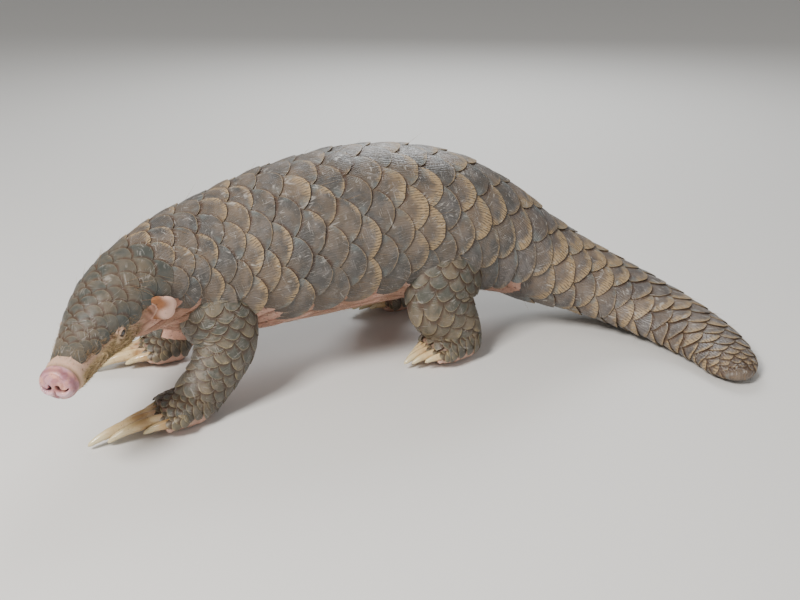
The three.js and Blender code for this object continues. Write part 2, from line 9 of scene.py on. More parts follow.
# %% Load the packed model
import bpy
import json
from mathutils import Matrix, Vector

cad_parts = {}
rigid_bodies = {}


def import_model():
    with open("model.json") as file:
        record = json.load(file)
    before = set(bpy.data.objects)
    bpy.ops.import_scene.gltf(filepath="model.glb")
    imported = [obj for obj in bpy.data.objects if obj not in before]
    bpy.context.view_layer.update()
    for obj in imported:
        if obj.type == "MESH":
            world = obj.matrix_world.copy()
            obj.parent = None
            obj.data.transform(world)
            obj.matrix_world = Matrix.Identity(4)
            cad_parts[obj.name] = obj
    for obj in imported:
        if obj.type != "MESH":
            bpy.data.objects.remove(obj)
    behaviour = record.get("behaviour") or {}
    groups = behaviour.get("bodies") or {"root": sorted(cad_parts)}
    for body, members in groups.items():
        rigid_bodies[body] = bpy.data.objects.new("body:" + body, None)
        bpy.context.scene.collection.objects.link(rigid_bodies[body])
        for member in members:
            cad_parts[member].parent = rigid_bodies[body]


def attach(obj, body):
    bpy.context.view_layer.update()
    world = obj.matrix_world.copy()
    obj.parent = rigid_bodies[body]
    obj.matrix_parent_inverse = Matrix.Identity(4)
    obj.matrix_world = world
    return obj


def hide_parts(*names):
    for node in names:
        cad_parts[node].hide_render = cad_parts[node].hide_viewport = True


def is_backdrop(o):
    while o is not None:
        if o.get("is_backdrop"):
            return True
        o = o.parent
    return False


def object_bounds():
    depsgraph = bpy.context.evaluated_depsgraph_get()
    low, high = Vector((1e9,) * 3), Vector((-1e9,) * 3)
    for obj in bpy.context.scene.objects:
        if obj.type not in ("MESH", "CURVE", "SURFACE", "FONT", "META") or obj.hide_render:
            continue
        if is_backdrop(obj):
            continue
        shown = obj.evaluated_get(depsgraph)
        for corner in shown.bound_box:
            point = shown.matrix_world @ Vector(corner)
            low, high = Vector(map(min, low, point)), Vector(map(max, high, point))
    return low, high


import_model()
cad_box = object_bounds()
print("model box", [[round(v, 4) for v in corner] for corner in cad_box])

# %% Tools of this lesson
import json
import math

import bmesh
import bpy
import numpy as np
from mathutils import Matrix, Vector

MM = 0.001  # the sizes below are in millimetres, and Blender's are in metres
rng = np.random.default_rng(7)

# %% [markdown]
# The body's measures.
# The sizes are those of the solids: stations down the middle of head, trunk and tail, each with the
# centre of the section, its half width, and its height above and depth below the centre. A scale's
# pitch is half of its exposed width. Pitch and cover are given at shares of the body's length, and
# only the first row and the tail's end are finer than the solids'.

# %% Measures of the body
SHIFT = np.array([-1.4, 81.4, 0.0])  # brings the middle of the animal over the origin
BODY_STATIONS = [
    [-313, -124, 88, 13.9, 13.3, 13.3],  # snout tip
    [-299, -108, 93, 15.5, 14.5, 14],
    [-284, -90, 100, 20, 18.5, 17.5],
    [-267, -72, 108, 27, 25, 24],  # eyes
    [-246, -53, 115, 34, 31.5, 31],  # ears
    [-217, -33, 120, 40, 38, 41],  # neck
    [-180, -16, 120, 51, 49, 57],  # shoulders
    [-128, -4, 118, 63, 62, 66],
    [-60, 1, 121, 71, 73, 71],
    [10, 2, 122, 73, 77, 72],
    [78, -2, 114, 71, 73, 66],  # hips
    [136, -11, 96, 64, 60, 55],
    [186, -27, 70, 57, 45, 42],  # tail root
    [232, -55, 46, 52, 35, 28],
    [267, -97, 28, 46, 27, 19],
    [284, -150, 16.4, 39, 21, 13.5],
    [280, -205, 11.4, 31, 15.5, 9.5],
    [258, -256, 8.6, 20, 10.5, 7.5],  # tail tip
]
PITCH = [
    [0, 4.6], [0.03, 5.6], [0.07, 7.4], [0.12, 10.2], [0.17, 13.6], [0.25, 18], [0.36, 20],
    [0.56, 20.6], [0.63, 22.5], [0.7, 21.5], [0.78, 18.4], [0.87, 15], [0.94, 11], [0.97, 7.6],
    [0.985, 5], [1, 2.4],
]
COVER = [  # how far round from the back the scales reach, in shares of half the girth
    [0.03, 0.26], [0.07, 0.4], [0.1, 0.42], [0.135, 0.46], [0.19, 0.56], [0.27, 0.62],
    [0.5, 0.66], [0.58, 0.72], [0.64, 0.62], [0.7, 0.53], [1, 0.53],
]
FIRST_ROW = 0.027  # share of the length where the scales begin
UNDER_TAIL_FROM = 0.665  # and where they close round the tail's underside
SNOUT_ROUND, TAIL_ROUND = 9, 30  # mm over which the ends of the form round off
BODY_COLUMNS, TAIL_COLUMNS = 10, 7  # scales round half the girth
END_STEP, ROW_STEP = 1.3, 0.86  # mm from a form's end to its first row, and pitches from row to row
RISE, STRAY = 0.21, 0.045  # how far a tip stands up and how far a plate strays, in pitches
print(len(BODY_STATIONS), "stations from snout to tail")

# %% [markdown]
# The measures of limbs and face.
# Legs run down and feet run forward through stations of the same kind, given for the left side of
# one pair. The face's marks are placed at a share of the body's length, and at a share of half its
# girth round from the back.

# %% Measures of limbs and face
LEG_STATIONS = {
    "fore": [
        [-160, 30, 114, 36, 22, 20],
        [-160, 46, 90, 34, 23, 20],
        [-156, 57, 62, 28, 20, 18],
        [-166, 62, 40, 23, 17.5, 17],
        [-180, 64, 22, 21, 17, 17],
        [-186, 64, 8, 19, 15, 15],
    ],
    "hind": [
        [70, 34, 108, 46, 28, 22],
        [64, 52, 84, 44, 27, 22],
        [58, 62, 58, 35, 22.5, 21],
        [68, 66, 38, 28, 19.5, 19],
        [77, 67, 20, 25, 19, 19],
        [77, 67, 6, 22, 17, 17],
    ],
}
FOOT_STATIONS = {
    "fore": [
        [-168, 64, 15, 17, 14, 17],
        [-186, 65, 16, 21, 15, 18],
        [-203, 66, 15, 22.5, 12.5, 17],
        [-216, 67, 12.5, 20.5, 9.5, 13],
    ],
    "hind": [
        [99, 67, 15, 18, 13, 17],
        [82, 68, 17, 22.5, 16, 19],
        [60, 69, 15.5, 25, 13, 17.5],
        [44, 70, 12.5, 23, 10, 13],
    ],
}
CLAWS = {  # lengths from the inner claw outwards, and the length of the toes they grow from
    "fore": {"lengths": [20, 45, 58, 48, 23], "spread": 10, "turn": 7, "thick": 5.4, "high": 6.2, "toe": 15},
    "hind": {"lengths": [15, 22, 25, 23, 17], "spread": 9.6, "turn": 8, "thick": 4.6, "high": 5, "toe": 16},
}
LIMBS = [  # kind, side and how far the leg has stepped
    ("fore", -1, -12),
    ("fore", 1, 14),
    ("hind", -1, -8),
    ("hind", 1, 12),
]
LIMB_SCALES = {  # the pitch on leg, foot and toe, and how far round half the girth the scales reach
    "fore": {"leg": (8, 0.62), "foot": (5.4, 0.52), "toe": (4.2, 0.56)},
    "hind": {"leg": (9.5, 0.62), "foot": (6, 0.52), "toe": (4.2, 0.56)},
}
EYE = {"share": 0.0745, "round": 0.475, "radius": 4.6, "inset": 2.2}
EAR = {"share": 0.118, "round": 0.485, "length": 13, "width": 10.5, "thick": 3.4}
EAR_LEAN = {"out": 0.62, "back": 1.0, "down": 0.5}
NOSE = {"radius": 14.6, "oval": 0.94, "forward": 4.5}
MOUTH = {"front": 12, "back": 40, "round": 0.46}
print(sum(len(claws["lengths"]) for claws in CLAWS.values()) * 2, "claws on", len(LIMBS), "feet")

# %% [markdown]
# Small curves.
# A few plain functions serve the whole lesson: a bump, a smooth step, a variation that is the same
# for the same scale each time, and a cubic that runs through given values. Pitch and cover of the
# scales are such cubics.

# %% Small curves
def unit(v):
    return v / np.maximum(np.linalg.norm(v, axis=-1, keepdims=True), 1e-12)


def stray(row, column, salt=0):
    """A small repeatable variation between -1 and 1 for each scale."""
    wave = np.sin(row * 12.99 + column * 78.23 + salt * 37.7) * 43758.55
    return 2 * (wave - np.floor(wave)) - 1


def bump(distance, width):
    """1 at no distance, falling smoothly to 0."""
    return np.exp(-((distance / width) ** 2))


def ramp(value, low, high):
    """0 below low, 1 above high and a smooth step between them."""
    t = np.clip((value - low) / (high - low), 0, 1)
    return t * t * (3 - 2 * t)


def cubic(t, span, start, start_slope, end, end_slope):
    """The cubic at t of a span, between two values with their slopes."""
    first = (2 * t**3 - 3 * t**2 + 1) * start + (t**3 - 2 * t**2 + t) * span * start_slope
    return first + ((3 * t**2 - 2 * t**3) * end + (t**3 - t**2) * span * end_slope)


def smooth_value(stations):
    """A smooth curve through pairs of numbers, as a function."""
    x, y = np.array(stations, float).T
    slope = np.gradient(y)
    slope[1:-1] = (y[2:] - y[:-2]) / (x[2:] - x[:-2])
    slope[0], slope[-1] = (y[1] - y[0]) / (x[1] - x[0]), (y[-1] - y[-2]) / (x[-1] - x[-2])

    def read(at):
        at = np.asarray(at, float)
        k = np.clip(np.searchsorted(x, at) - 1, 0, len(x) - 2)
        span = x[k + 1] - x[k]
        t = np.clip((at - x[k]) / span, 0, 1)
        return cubic(t, span, y[k], slope[k], y[k + 1], slope[k + 1])

    return read


pitch_at = smooth_value(PITCH)
cover_at = smooth_value(COVER)
print("pitch on the shoulder", pitch_at(0.3).round(1), "mm")

# %% [markdown]
# A form round a curved line.
# Every rounded part of the animal is a Form: a smooth curve through its stations. A place on it is
# given by s, the way along the middle line, and by the arc, the way round from the middle of its
# scaled side. Whole arrays of places are read at once, so that a hundred thousand vertices take a
# second. Its ends are domes: the section shrinks over the last millimetres as a ball's does.

# %% The Form
class Form:
    """A rounded form round a curved centre line, with an oval section at each station."""

    def __init__(self, stations, crown, start_round=6, end_round=6, flat=1.0):
        self.rows = np.array(stations, float)
        self.rows[:, :3] += SHIFT
        self.crown = np.array(crown, float)
        self.start_round, self.end_round, self.flat = start_round, end_round, flat
        steps = np.linalg.norm(np.diff(self.rows[:, :3], axis=0), axis=1)
        self.places = np.concatenate([[0.0], np.cumsum(steps)])
        self.length = self.places[-1]
        before, after = np.r_[0, 0:len(steps)], np.r_[1:len(steps) + 1, len(steps)]
        spans = (self.places[after] - self.places[before])[:, None]
        self.slopes = (self.rows[after] - self.rows[before]) / spans

    def read(self, s):
        k = np.clip(np.searchsorted(self.places, s) - 1, 0, len(self.places) - 2)
        span = (self.places[k + 1] - self.places[k])[:, None]
        t = np.clip((s - self.places[k])[:, None] / span, 0, 1)
        return cubic(t, span, self.rows[k], self.slopes[k], self.rows[k + 1], self.slopes[k + 1])

    def frame(self, s):
        """Centre, the three directions along, side and up, and the section's three sizes."""
        s = np.atleast_1d(np.asarray(s, float))
        here = self.read(s)
        ahead = self.read(np.minimum(s + 1.5, self.length))[:, :3]
        along = unit(ahead - self.read(np.maximum(s - 1.5, 0))[:, :3])
        side = unit(np.cross(self.crown, along))
        least = np.clip(np.minimum(s / self.start_round, (self.length - s) / self.end_round), 0, 1)
        dome = np.sqrt(np.maximum(1 - (1 - least) ** 2, 0))
        return here[:, :3], along, side, np.cross(along, side), here[:, 3:] * dome[:, None]

    def section(self, sizes, turn):
        """Offsets sideways and up of the point at each angle from the crown."""
        c = np.cos(turn)
        low = -sizes[..., 2] * np.abs(c) ** self.flat
        return sizes[..., 0] * np.sin(turn), np.where(c >= 0, sizes[..., 1] * c, low)

    def around(self, s, turn):
        centre, _, side, up, sizes = self.frame(s)
        across, high = self.section(sizes, turn)
        return centre + side * across[:, None] + up * high[:, None]

    def arcs(self, s, steps=48):
        """The arc length at each of some even turns from crown to underside, for each s."""
        sizes = self.frame(s)[4][:, None, :]
        across, high = self.section(sizes, np.linspace(0, math.pi, steps + 1)[None, :])
        lengths = np.hypot(np.diff(across), np.diff(high))
        return across, high, np.concatenate([np.zeros((len(sizes), 1)), np.cumsum(lengths, axis=1)], axis=1)

    def half_girth(self, s):
        return self.arcs(np.atleast_1d(np.asarray(s, float)))[2][:, -1]

    def at(self, s, arc):
        s = np.clip(s, 1, self.length - 1)
        centre, _, side, up, _ = self.frame(s)
        across, high, gone = self.arcs(s)
        half = gone[:, -1]
        arc = np.mod(arc + half, 2 * half) - half
        k = np.clip((gone < np.abs(arc)[:, None]).sum(axis=1) - 1, 0, gone.shape[1] - 2)
        n = np.arange(len(s))
        t = (np.abs(arc) - gone[n, k]) / np.maximum(gone[n, k + 1] - gone[n, k], 1e-9)
        out = (across[n, k] * (1 - t) + across[n, k + 1] * t) * np.sign(arc)
        rise = high[n, k] * (1 - t) + high[n, k + 1] * t
        return centre + side * out[:, None] + up * rise[:, None]

    def normal(self, s, arc):
        middle = np.clip(s, 2, self.length - 2)
        along = self.at(middle + 1, arc) - self.at(middle - 1, arc)
        return unit(np.cross(along, self.at(middle, arc + 1) - self.at(middle, arc - 1)))

    def raised(self, s, arc, height):
        s, arc, height = (np.atleast_1d(np.asarray(v, float)) for v in (s, arc, height))
        return self.at(s, arc) + self.normal(s, arc) * height[:, None]


body = Form(BODY_STATIONS, [0, 0, 1], SNOUT_ROUND, TAIL_ROUND, flat=0.78)
print("body length", round(body.length, 1), "half girth at the hips", body.half_girth(430).round(1))

# %% [markdown]
# From grid to mesh.
# A tube or a cushion starts as a flat grid from bmesh, because a grid's vertices are easy to number.
# Its vertices are moved on to the form, the two long edges meet and are welded, and the ends close
# on their poles. Masks for the materials are kept as attributes of the vertices.

# %% Helpers for meshes
def shaped(name, steps):
    """A new mesh from what steps(bm) does with an empty bmesh."""
    bm = bmesh.new()
    steps(bm)
    mesh = bpy.data.meshes.new(name)
    bm.to_mesh(mesh)
    bm.free()
    return mesh


def grid_mesh(name, columns, rows):
    """A flat grid, each vertex at its column and row number."""
    mesh = shaped(name, lambda bm: bmesh.ops.create_grid(bm, x_segments=columns, y_segments=rows, size=0.5))
    mesh.transform(Matrix.Diagonal((columns, rows, 1, 1)) @ Matrix.Translation((0.5, 0.5, 0)))
    return mesh


def ball_mesh(name, around, along):
    """A ball of radius 1 with its poles on z."""
    size = {"u_segments": around, "v_segments": along, "radius": 1}
    return shaped(name, lambda bm: bmesh.ops.create_uvsphere(bm, **size))


def joined(name, meshes):
    """One mesh from several."""
    return shaped(name, lambda bm: [bm.from_mesh(mesh) for mesh in meshes])


def weld(mesh, distance=2e-6):
    """Joins the edges that meet and turns every face outwards."""
    bm = bmesh.new()
    bm.from_mesh(mesh)
    bmesh.ops.remove_doubles(bm, verts=bm.verts, dist=distance)
    bmesh.ops.dissolve_degenerate(bm, dist=distance, edges=bm.edges)
    bmesh.ops.recalc_face_normals(bm, faces=bm.faces)
    bm.to_mesh(mesh)
    bm.free()


def coordinates(mesh):
    flat = np.empty(len(mesh.vertices) * 3)
    mesh.vertices.foreach_get("co", flat)
    return flat.reshape(-1, 3)


def set_coordinates(mesh, points):
    mesh.vertices.foreach_set("co", np.ascontiguousarray(points, float).ravel())
    mesh.update()


def set_attributes(mesh, **told):
    """Float attributes of the vertices, each from an array or from one number for all of them."""
    for name, values in told.items():
        layer = mesh.attributes.get(name) or mesh.attributes.new(name, "FLOAT", "POINT")
        each = np.broadcast_to(np.asarray(values, np.float32), len(mesh.vertices))
        layer.data.foreach_set("value", np.ascontiguousarray(each))


def read_attribute(mesh, name):
    values = np.empty(len(mesh.vertices), np.float32)
    mesh.attributes[name].data.foreach_get("value", values)
    return values


def laid_out(measures, axes):
    """Points from their measures along three axes."""
    return sum(v[:, None] * axis for v, axis in zip(measures, axes))


def above_floor(points, height):
    """Points in metres, none of them lower than a height."""
    return np.maximum(points, [-np.inf, -np.inf, height])


print("a grid of 2 by 3 faces has", len(coordinates(grid_mesh("test", 2, 3))), "vertices")

# %% [markdown]
# Tubes.
# A tube's vertices keep the order of the grid, so a value worked out row by row has to be put back in
# the grid's own order. Under plates a limb's hide lies lower, or it would show between them.

# %% Tubes on a form
def outward_of(points, rows):
    """Outward directions on a net of points whose last column lies on its first."""
    net = points.reshape(rows, -1, 3)
    ring = net[:, :-1]
    crosswise = np.roll(ring, -1, axis=1) - np.roll(ring, 1, axis=1)
    outward = unit(np.cross(np.gradient(net, axis=0)[:, :-1], crosswise))
    return np.concatenate([outward, outward[:, :1]], axis=1).reshape(-1, 3)


def grid_places(mesh):
    """Column and row of each vertex of a grid, and the order that reads it row by row."""
    column, row = np.rint(coordinates(mesh)[:, :2]).astype(int).T
    order = np.lexsort((column, row))
    return column[order], row[order], order


def in_grid_order(values, order):
    placed = np.empty_like(values)
    placed[order] = values
    return placed


def under_plates(turn, cover):
    """1 where plates that reach round to a share of half the girth cover a limb, 0 elsewhere."""
    away = np.abs(np.mod(turn + math.pi, 2 * math.pi) - math.pi) / math.pi
    return 1 - ramp(away, cover - 0.12, cover)


def tube(name, form, rings, sides, shape, cover=None):
    """A closed tube on a form, with shape(s, turn, outward) giving its offsets in mm."""
    mesh = grid_mesh(name, sides, len(rings) - 1)
    column, row, order = grid_places(mesh)
    s, turn = rings[row], column * 2 * math.pi / sides
    points = form.around(s, turn)
    points = points + shape(s, turn, outward_of(points, len(rings)))
    for end in (0, len(rings) - 1):
        points[row == end] = points[row == end].mean(axis=0)
    points[column == sides] = points[column == 0]
    set_coordinates(mesh, in_grid_order(points, order) * MM)
    if cover is not None:
        set_attributes(mesh, scaled=in_grid_order(0.75 * under_plates(turn, cover), order))
    weld(mesh)
    return mesh


print("plates hide", under_plates(np.array([0.5]), 0.6)[0], "of a limb near its crown")

# %% [markdown]
# Copies and finished pieces.
# Small shapes are repeated by an Array modifier with no offset, which is applied, so that each copy
# can then be moved to its own place. A finished piece sits at the origin, rides with the animal and
# hides the solids that it stands for. Coat pieces carry a map named OFBake.

# %% Copies, maps and pieces
def new_object(name, mesh):
    made = bpy.data.objects.new(name, mesh)
    bpy.context.scene.collection.objects.link(made)
    return made


def applied(made):
    """The mesh of an object with its modifiers applied. The object itself is removed."""
    graph = bpy.context.evaluated_depsgraph_get()
    mesh = bpy.data.meshes.new_from_object(made.evaluated_get(graph), depsgraph=graph)
    bpy.data.objects.remove(made)
    return mesh


def repeated(name, one, count):
    """A mesh that holds count copies of a small one, in order."""
    made = new_object(name, one)
    array = made.modifiers.new("copies", "ARRAY")
    array.count = count
    array.use_relative_offset = False
    array.use_constant_offset = True
    array.constant_offset_displace = (0, 0, 0)
    return applied(made)


def bake_map(mesh, places):
    """A map named OFBake, from one place for each vertex."""
    corner = np.empty(len(mesh.loops), np.int32)
    mesh.loops.foreach_get("vertex_index", corner)
    layer = mesh.uv_layers.new(name="OFBake").uv
    layer.foreach_set("vector", places[corner].astype(np.float32).ravel())


def piece(name, mesh, material, replaced=(), sharp=None):
    """A finished piece: named, smooth, in its material, and riding with the animal."""
    mesh.name = name
    made = new_object(name, mesh)
    mesh.materials.clear()
    mesh.materials.append(material)
    mesh.shade_smooth()
    if sharp:
        mesh.set_sharp_from_angle(angle=math.radians(sharp))
    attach(made, "root")
    if replaced:
        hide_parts(*replaced)
    print(name, sum(len(p.vertices) - 2 for p in mesh.polygons), "triangles")


print("3 copies of a quad have", len(repeated("test", grid_mesh("test", 1, 1), 3).polygons), "faces")

# %% [markdown]
# The head's landmarks.
# The eye, the line of the mouth, the nose pad and the edge of the scales are all given on the body's
# own form, as a way along and a way round. The masks that the materials read are worked out from the
# same places, so a fold and its colour can't part company.

# %% Landmarks on the body
EYE_S = EYE["share"] * body.length
EYE_ARC = EYE["round"] * body.half_girth(EYE_S)[0]
EAR_S = EAR["share"] * body.length
EAR_ARC = EAR["round"] * body.half_girth(EAR_S)[0]
BARE = 0.3  # how far the bare hide lies inside the solids, in mm
SUNK = 0.9  # and the hide under the scales


def arc_of(form, s, turn, steps=48):
    """The arc length round to each turn, negative on the far side of the crown, and half the girth."""
    gone = form.arcs(s, steps)[2]
    signed = np.mod(turn + math.pi, 2 * math.pi) - math.pi
    at = np.abs(signed) * steps / math.pi
    k = np.minimum(at.astype(int), steps - 1)
    n = np.arange(len(s))
    arc = gone[n, k] + (at - k) * (gone[n, k + 1] - gone[n, k])
    return np.where(signed < 0, -arc, arc), gone[:, -1]


def path_distance(x, y, path):
    """Distance from each point to a line through points, and how far along the nearest place is."""
    best = np.full(len(x), 1e9)
    place = np.zeros(len(x))
    for k, ((x0, y0), (x1, y1)) in enumerate(zip(path[:-1], path[1:])):
        dx, dy = x1 - x0, y1 - y0
        t = np.clip(((x - x0) * dx + (y - y0) * dy) / (dx * dx + dy * dy), 0, 1)
        far = np.hypot(x - x0 - t * dx, y - y0 - t * dy)
        place = np.where(far < best, (k + t) / (len(path) - 1), place)
        best = np.minimum(best, far)
    return best, place


def scaled_mask(s, arc, half, inside=0.0, soft=0.03):
    """1 where scales cover the hide of head, trunk and tail, 0 where it is bare."""
    share = s / body.length
    reach = ramp(cover_at(share) - inside - np.abs(arc) / half, -soft, soft)
    under = ramp(share, UNDER_TAIL_FROM - 0.005, UNDER_TAIL_FROM + 0.005)
    return np.maximum(reach, under) * ramp(share, FIRST_ROW - 0.004, FIRST_ROW + 0.004)


print("eye at", round(EYE_S), "mm and ear at", round(EAR_S), "mm from the snout's tip")

# %% [markdown]
# The nose.
# A pangolin's snout ends in a broad, wet pad: a low dome between two comma-shaped nostrils, each over
# a swollen rim. It could be a separate piece, but a seam would show, so it is a move of the hide's own
# fine mesh, given as a height in mm above the plain form.

# %% Form of the nose
# Points of a nostril and of its rim, in mm aside and up from the pad's middle.
NOSTRIL = [(2.9, 1.9), (3.3, -0.2), (4.9, -1.7), (7.0, -2.0), (9.0, -1.3), (10.4, 0.1)]
NOSTRIL_RIM = [(2.6, -4.0), (5.4, -5.3), (8.2, -4.8), (10.6, -2.6)]
PAD_DEPTH, PAD_EDGE = 8, 2.7  # mm from its front to its back, and how square its edge is
GROOVE = 8.4  # mm from the snout's tip, where the pad ends


def nose_pad(q, turn):
    """Height forward of the pad's front, at q of its radius, where its nostrils are painted in shade, and how
    moist it is, which sets its roughness and a painted sheen.
    """
    x = np.abs(q * NOSE["radius"] * np.sin(turn))
    y = q * NOSE["radius"] * NOSE["oval"] * np.cos(turn)
    slit, along = path_distance(x, y, NOSTRIL)
    wide = 1.75 - 1.2 * along
    hole = 1 - ramp(slit, 0.25 * wide, 1.15 * wide)
    rim = path_distance(x, y, NOSTRIL_RIM)[0]
    dome = bump(np.hypot(x, y - 3.4), 4.6)
    crease = bump(np.hypot(x, (y - 3.2) * 0.9) - 7.4, 0.8) * ramp(y, -0.5, 2.5)
    height = 1.5 * dome + 2.1 * bump(rim, 2.1) - 0.75 * crease + 0.8 * bump(q - 0.86, 0.1) * ramp(y, -6, 4)
    height -= 1.1 * bump(x, 1.0) * ramp(-y, 1.5, 5.5)
    return height * ramp(1 - q, 0, 0.1) - 3.6 * hole, hole, bump(rim, 2.4)


print("the pad reaches back", PAD_DEPTH, "mm to its groove at", GROOVE, "mm")

# %% [markdown]
# The mouth, lids and folds.
# The mouth is a short slit far under the snout. The eye is small and half closed in thick lids. The
# skin of throat and belly lies in lengthwise folds. These too are heights above the plain form, and
# each comes with the mask that its colour needs.

# %% Forms of mouth, lids and folds
def mouth_height(s, arc, half):
    """The slit of the mouth between its two low lips, and a mask of the slit, where shade is painted."""
    t = np.linspace(0, 1, 24)
    path_s = MOUTH["front"] + (MOUTH["back"] - MOUTH["front"]) * t**2
    path_arc = body.half_girth(path_s) * (1 - MOUTH["round"] * t)
    path = list(zip(path_s, body.half_girth(path_s) - path_arc))
    gap = path_distance(s, half - np.abs(arc), path)[0]
    slit = bump(gap, 0.75)
    return 1.15 * bump(gap - 2.2, 1.5) - 1.7 * slit, slit


def lid_height(s, arc):
    """Lids that follow the eyeball and part in a narrow almond, and masks of the opening, where shade is
    painted, and rim.
    """
    a, b = s - EYE_S, np.abs(arc) - EYE_ARC
    ahead, down = a * 0.94 + b * 0.34, b * 0.94 - a * 0.34
    r = np.hypot(a, b)
    ball = np.sqrt(np.maximum(EYE["radius"] ** 2 - r**2, 0)) - EYE["inset"]
    almond = 1.85 * np.maximum(1 - (ahead / 3.7) ** 2, 0)
    opening = (1 - ramp(np.abs(down) - almond, -0.25, 0.25)) * (np.abs(ahead) < 3.8)
    lid = np.maximum(ball, 0) + 0.55 + 0.9 * bump(r - 4.6, 2.4) - 0.55 * ramp(r, 5, 9)
    rim = bump(np.abs(down) - almond - 0.5, 0.55) * (np.abs(ahead) < 4.4)
    fold = bump(np.abs(down) - almond * 0.8 - 2.7, 0.5) * ramp(5.4 - np.abs(ahead), 0, 2)
    height = (lid + 0.35 * rim - 0.5 * fold) * (1 - opening) + (ball - 1.3) * opening
    return np.where(r < 11, height, 0), opening, bump(r, 6.5)


def fold_height(s, arc, half):
    """Folds of the throat and wrinkles of the belly, lengthwise, and their depth as a mask of dirt and
    painted shade.
    """
    low = np.abs(arc) / half
    wander = 3.1 * np.sin(s / 31 + 0.7) + 1.7 * np.sin(s / 12.3 + arc / 29)
    coarse = np.sin((arc + wander) / 2.3 + 0.6 * np.sin(s / 17))
    lines = coarse + 0.6 * np.sin((arc - wander) / 1.31 + s / 40)
    throat = ramp(s, 80, 100) * (1 - ramp(s, 215, 270)) * ramp(low, 0.5, 0.62)
    belly = ramp(s, 190, 260) * (1 - ramp(s, 500, 560)) * ramp(low, 0.6, 0.7)
    jaw = ramp(low, 0.46, 0.66)
    height = throat * (1.15 * lines - 0.2) + belly * 0.4 * lines
    height += jaw * (1.6 * bump(s - 66, 12) - 2.6 * bump(s - 84, 5))
    return height, np.clip(-0.6 * lines, 0, 1) * np.maximum(throat, belly * 0.8) + jaw * bump(s - 85, 5)


print("a lid's height beside the eye", lid_height(EYE_S + np.array([4.6]), EYE_ARC)[0].round(1), "mm")

# %% [markdown]
# The hide of head, trunk and tail.
# The long tube is fine where the face needs it and coarse under the scales. Its front end is the flat
# pad of the nose, which a tube's rounded end can't give, so the first rings are laid out on a disc
# with a rounded edge instead.

# %% Rings and turns of the body
PAD_RINGS, BODY_SIDES = 42, 228
HIDE_END = body.length - 0.8  # the hide of the tail ends just inside the last scales
EYE_TURN = 1.47  # where the sides are narrowest, in radians from the crown


def body_turns():
    """Turns round the body, closer together beside the eyes and below than over the scaled back."""
    turn = np.linspace(0, math.pi, 2000)
    weight = 0.62 + 2.1 * bump(turn - EYE_TURN, 0.16) + 0.5 * ramp(turn, 1.0, 1.5)
    gone = np.concatenate([[0], np.cumsum((weight[1:] + weight[:-1]) / 2)])
    half = np.interp(np.linspace(0, gone[-1], BODY_SIDES // 2 + 1), gone, turn)
    return np.concatenate([half, 2 * math.pi - half[-2::-1]])


def ring_step(here, eye):
    """mm from ring to ring: finest at the eye, fine on the face, wide under the scales."""
    if abs(here - eye) < 8:
        return 0.4
    return 0.75 if here < eye else np.interp(here, [eye, 115, 180], [0.8, 1, 5.6])


def body_rings():
    """Places of the rings: below 0 on the nose pad, and from 0 on behind it."""
    pad = -(np.linspace(1, 0, PAD_RINGS) ** 1.15)
    length = HIDE_END - NOSE["forward"]
    places = [0]
    while places[-1] < length - TAIL_ROUND:
        places.append(places[-1] + ring_step(places[-1], EYE_S - NOSE["forward"]))
    end = length - TAIL_ROUND * (1 - np.sin(np.linspace(0, math.pi / 2, 14)))
    return np.concatenate([pad, places[1:-1], end])


print(len(body_rings()), "rings of", BODY_SIDES, "sides")

# %% [markdown]
# Points and masks of the body's hide.
# The plain form is moved outwards by the heights of mouth, lids, cheeks and folds. It lies lower
# under the scales and a little inside the solids elsewhere.

# %% Body hide mesh
def hide_point(ring, turn):
    """Points of the plain hide, their s, arc and half girth, and what is nostril (painted in shade), pad and
    moist (with a painted sheen).
    """
    s = np.maximum(ring, 0) + NOSE["forward"]
    centre, along, side, up, _ = body.frame(s)
    dome = np.clip((HIDE_END - s) / TAIL_ROUND, 0, 1)
    sizes = body.read(s)[:, 3:] * np.sqrt(1 - (1 - dome) ** 2)[:, None]
    across, high = body.section(sizes, turn)
    plain = centre + side * across[:, None] + up * high[:, None]
    arc, half = arc_of(body, np.clip(s, SNOUT_ROUND, body.length - 1), turn)
    q = np.clip(1 + ring, 0, 1)
    pad = ring < 0
    wide, tall = NOSE["radius"] * q * np.sin(turn), NOSE["radius"] * NOSE["oval"] * q * np.cos(turn)
    disc = centre + side * wide[:, None] + up * tall[:, None]
    back = PAD_DEPTH * (1 - q**PAD_EDGE) ** (1 / PAD_EDGE)
    blend = ramp(s, NOSE["forward"], SNOUT_ROUND)[:, None]
    edge = np.where(pad[:, None], disc - along * back[:, None], disc * (1 - blend) + plain * blend)
    height, hole, moist = nose_pad(q, turn)
    edge = edge - along * np.where(pad, height, 0)[:, None]
    return edge, s, arc, half, np.where(pad, hole, 0), pad, np.where(pad, moist, 0)


rings, turns = body_rings(), body_turns()
body_mesh = grid_mesh("hide", BODY_SIDES, len(rings) - 1)
column, row, order = grid_places(body_mesh)
ring, turn = rings[row], turns[column]
points, s, arc, half, hole, pad, moist = hide_point(ring, turn)
outward = outward_of(points, len(rings))
mouth, slit = mouth_height(s, arc, half)
lid, opening, socket = lid_height(s, arc)
fold, crease = fold_height(s, arc, half)
scaled = scaled_mask(s, arc, half)
behind = ramp(s, 7, 11)
collar = 0.5 * bump(s - 13, 3) - 1.1 * bump(s - GROOVE, 1.5)
cheek = 1.4 * bump(s - 44, 12) * bump(np.abs(arc) / half - 0.58, 0.14)
pad_edge = 0.7 * ramp(-ring, 0.0, 0.02) * (1 - ramp(-ring, 0.02, 0.14))
pad_crease = np.where(pad, pad_edge, bump(s - GROOVE, 1.4))
root = 2.6 * bump(np.hypot(s - EAR_S + 1, np.abs(arc) - EAR_ARC), 8.5)
ear_stain = bump(np.hypot(s - EAR_S + 5, np.abs(arc) - EAR_ARC + 2), 8)
ear_stain = 0.9 * ear_stain * (0.7 + 0.3 * np.sin(s + arc / 2))
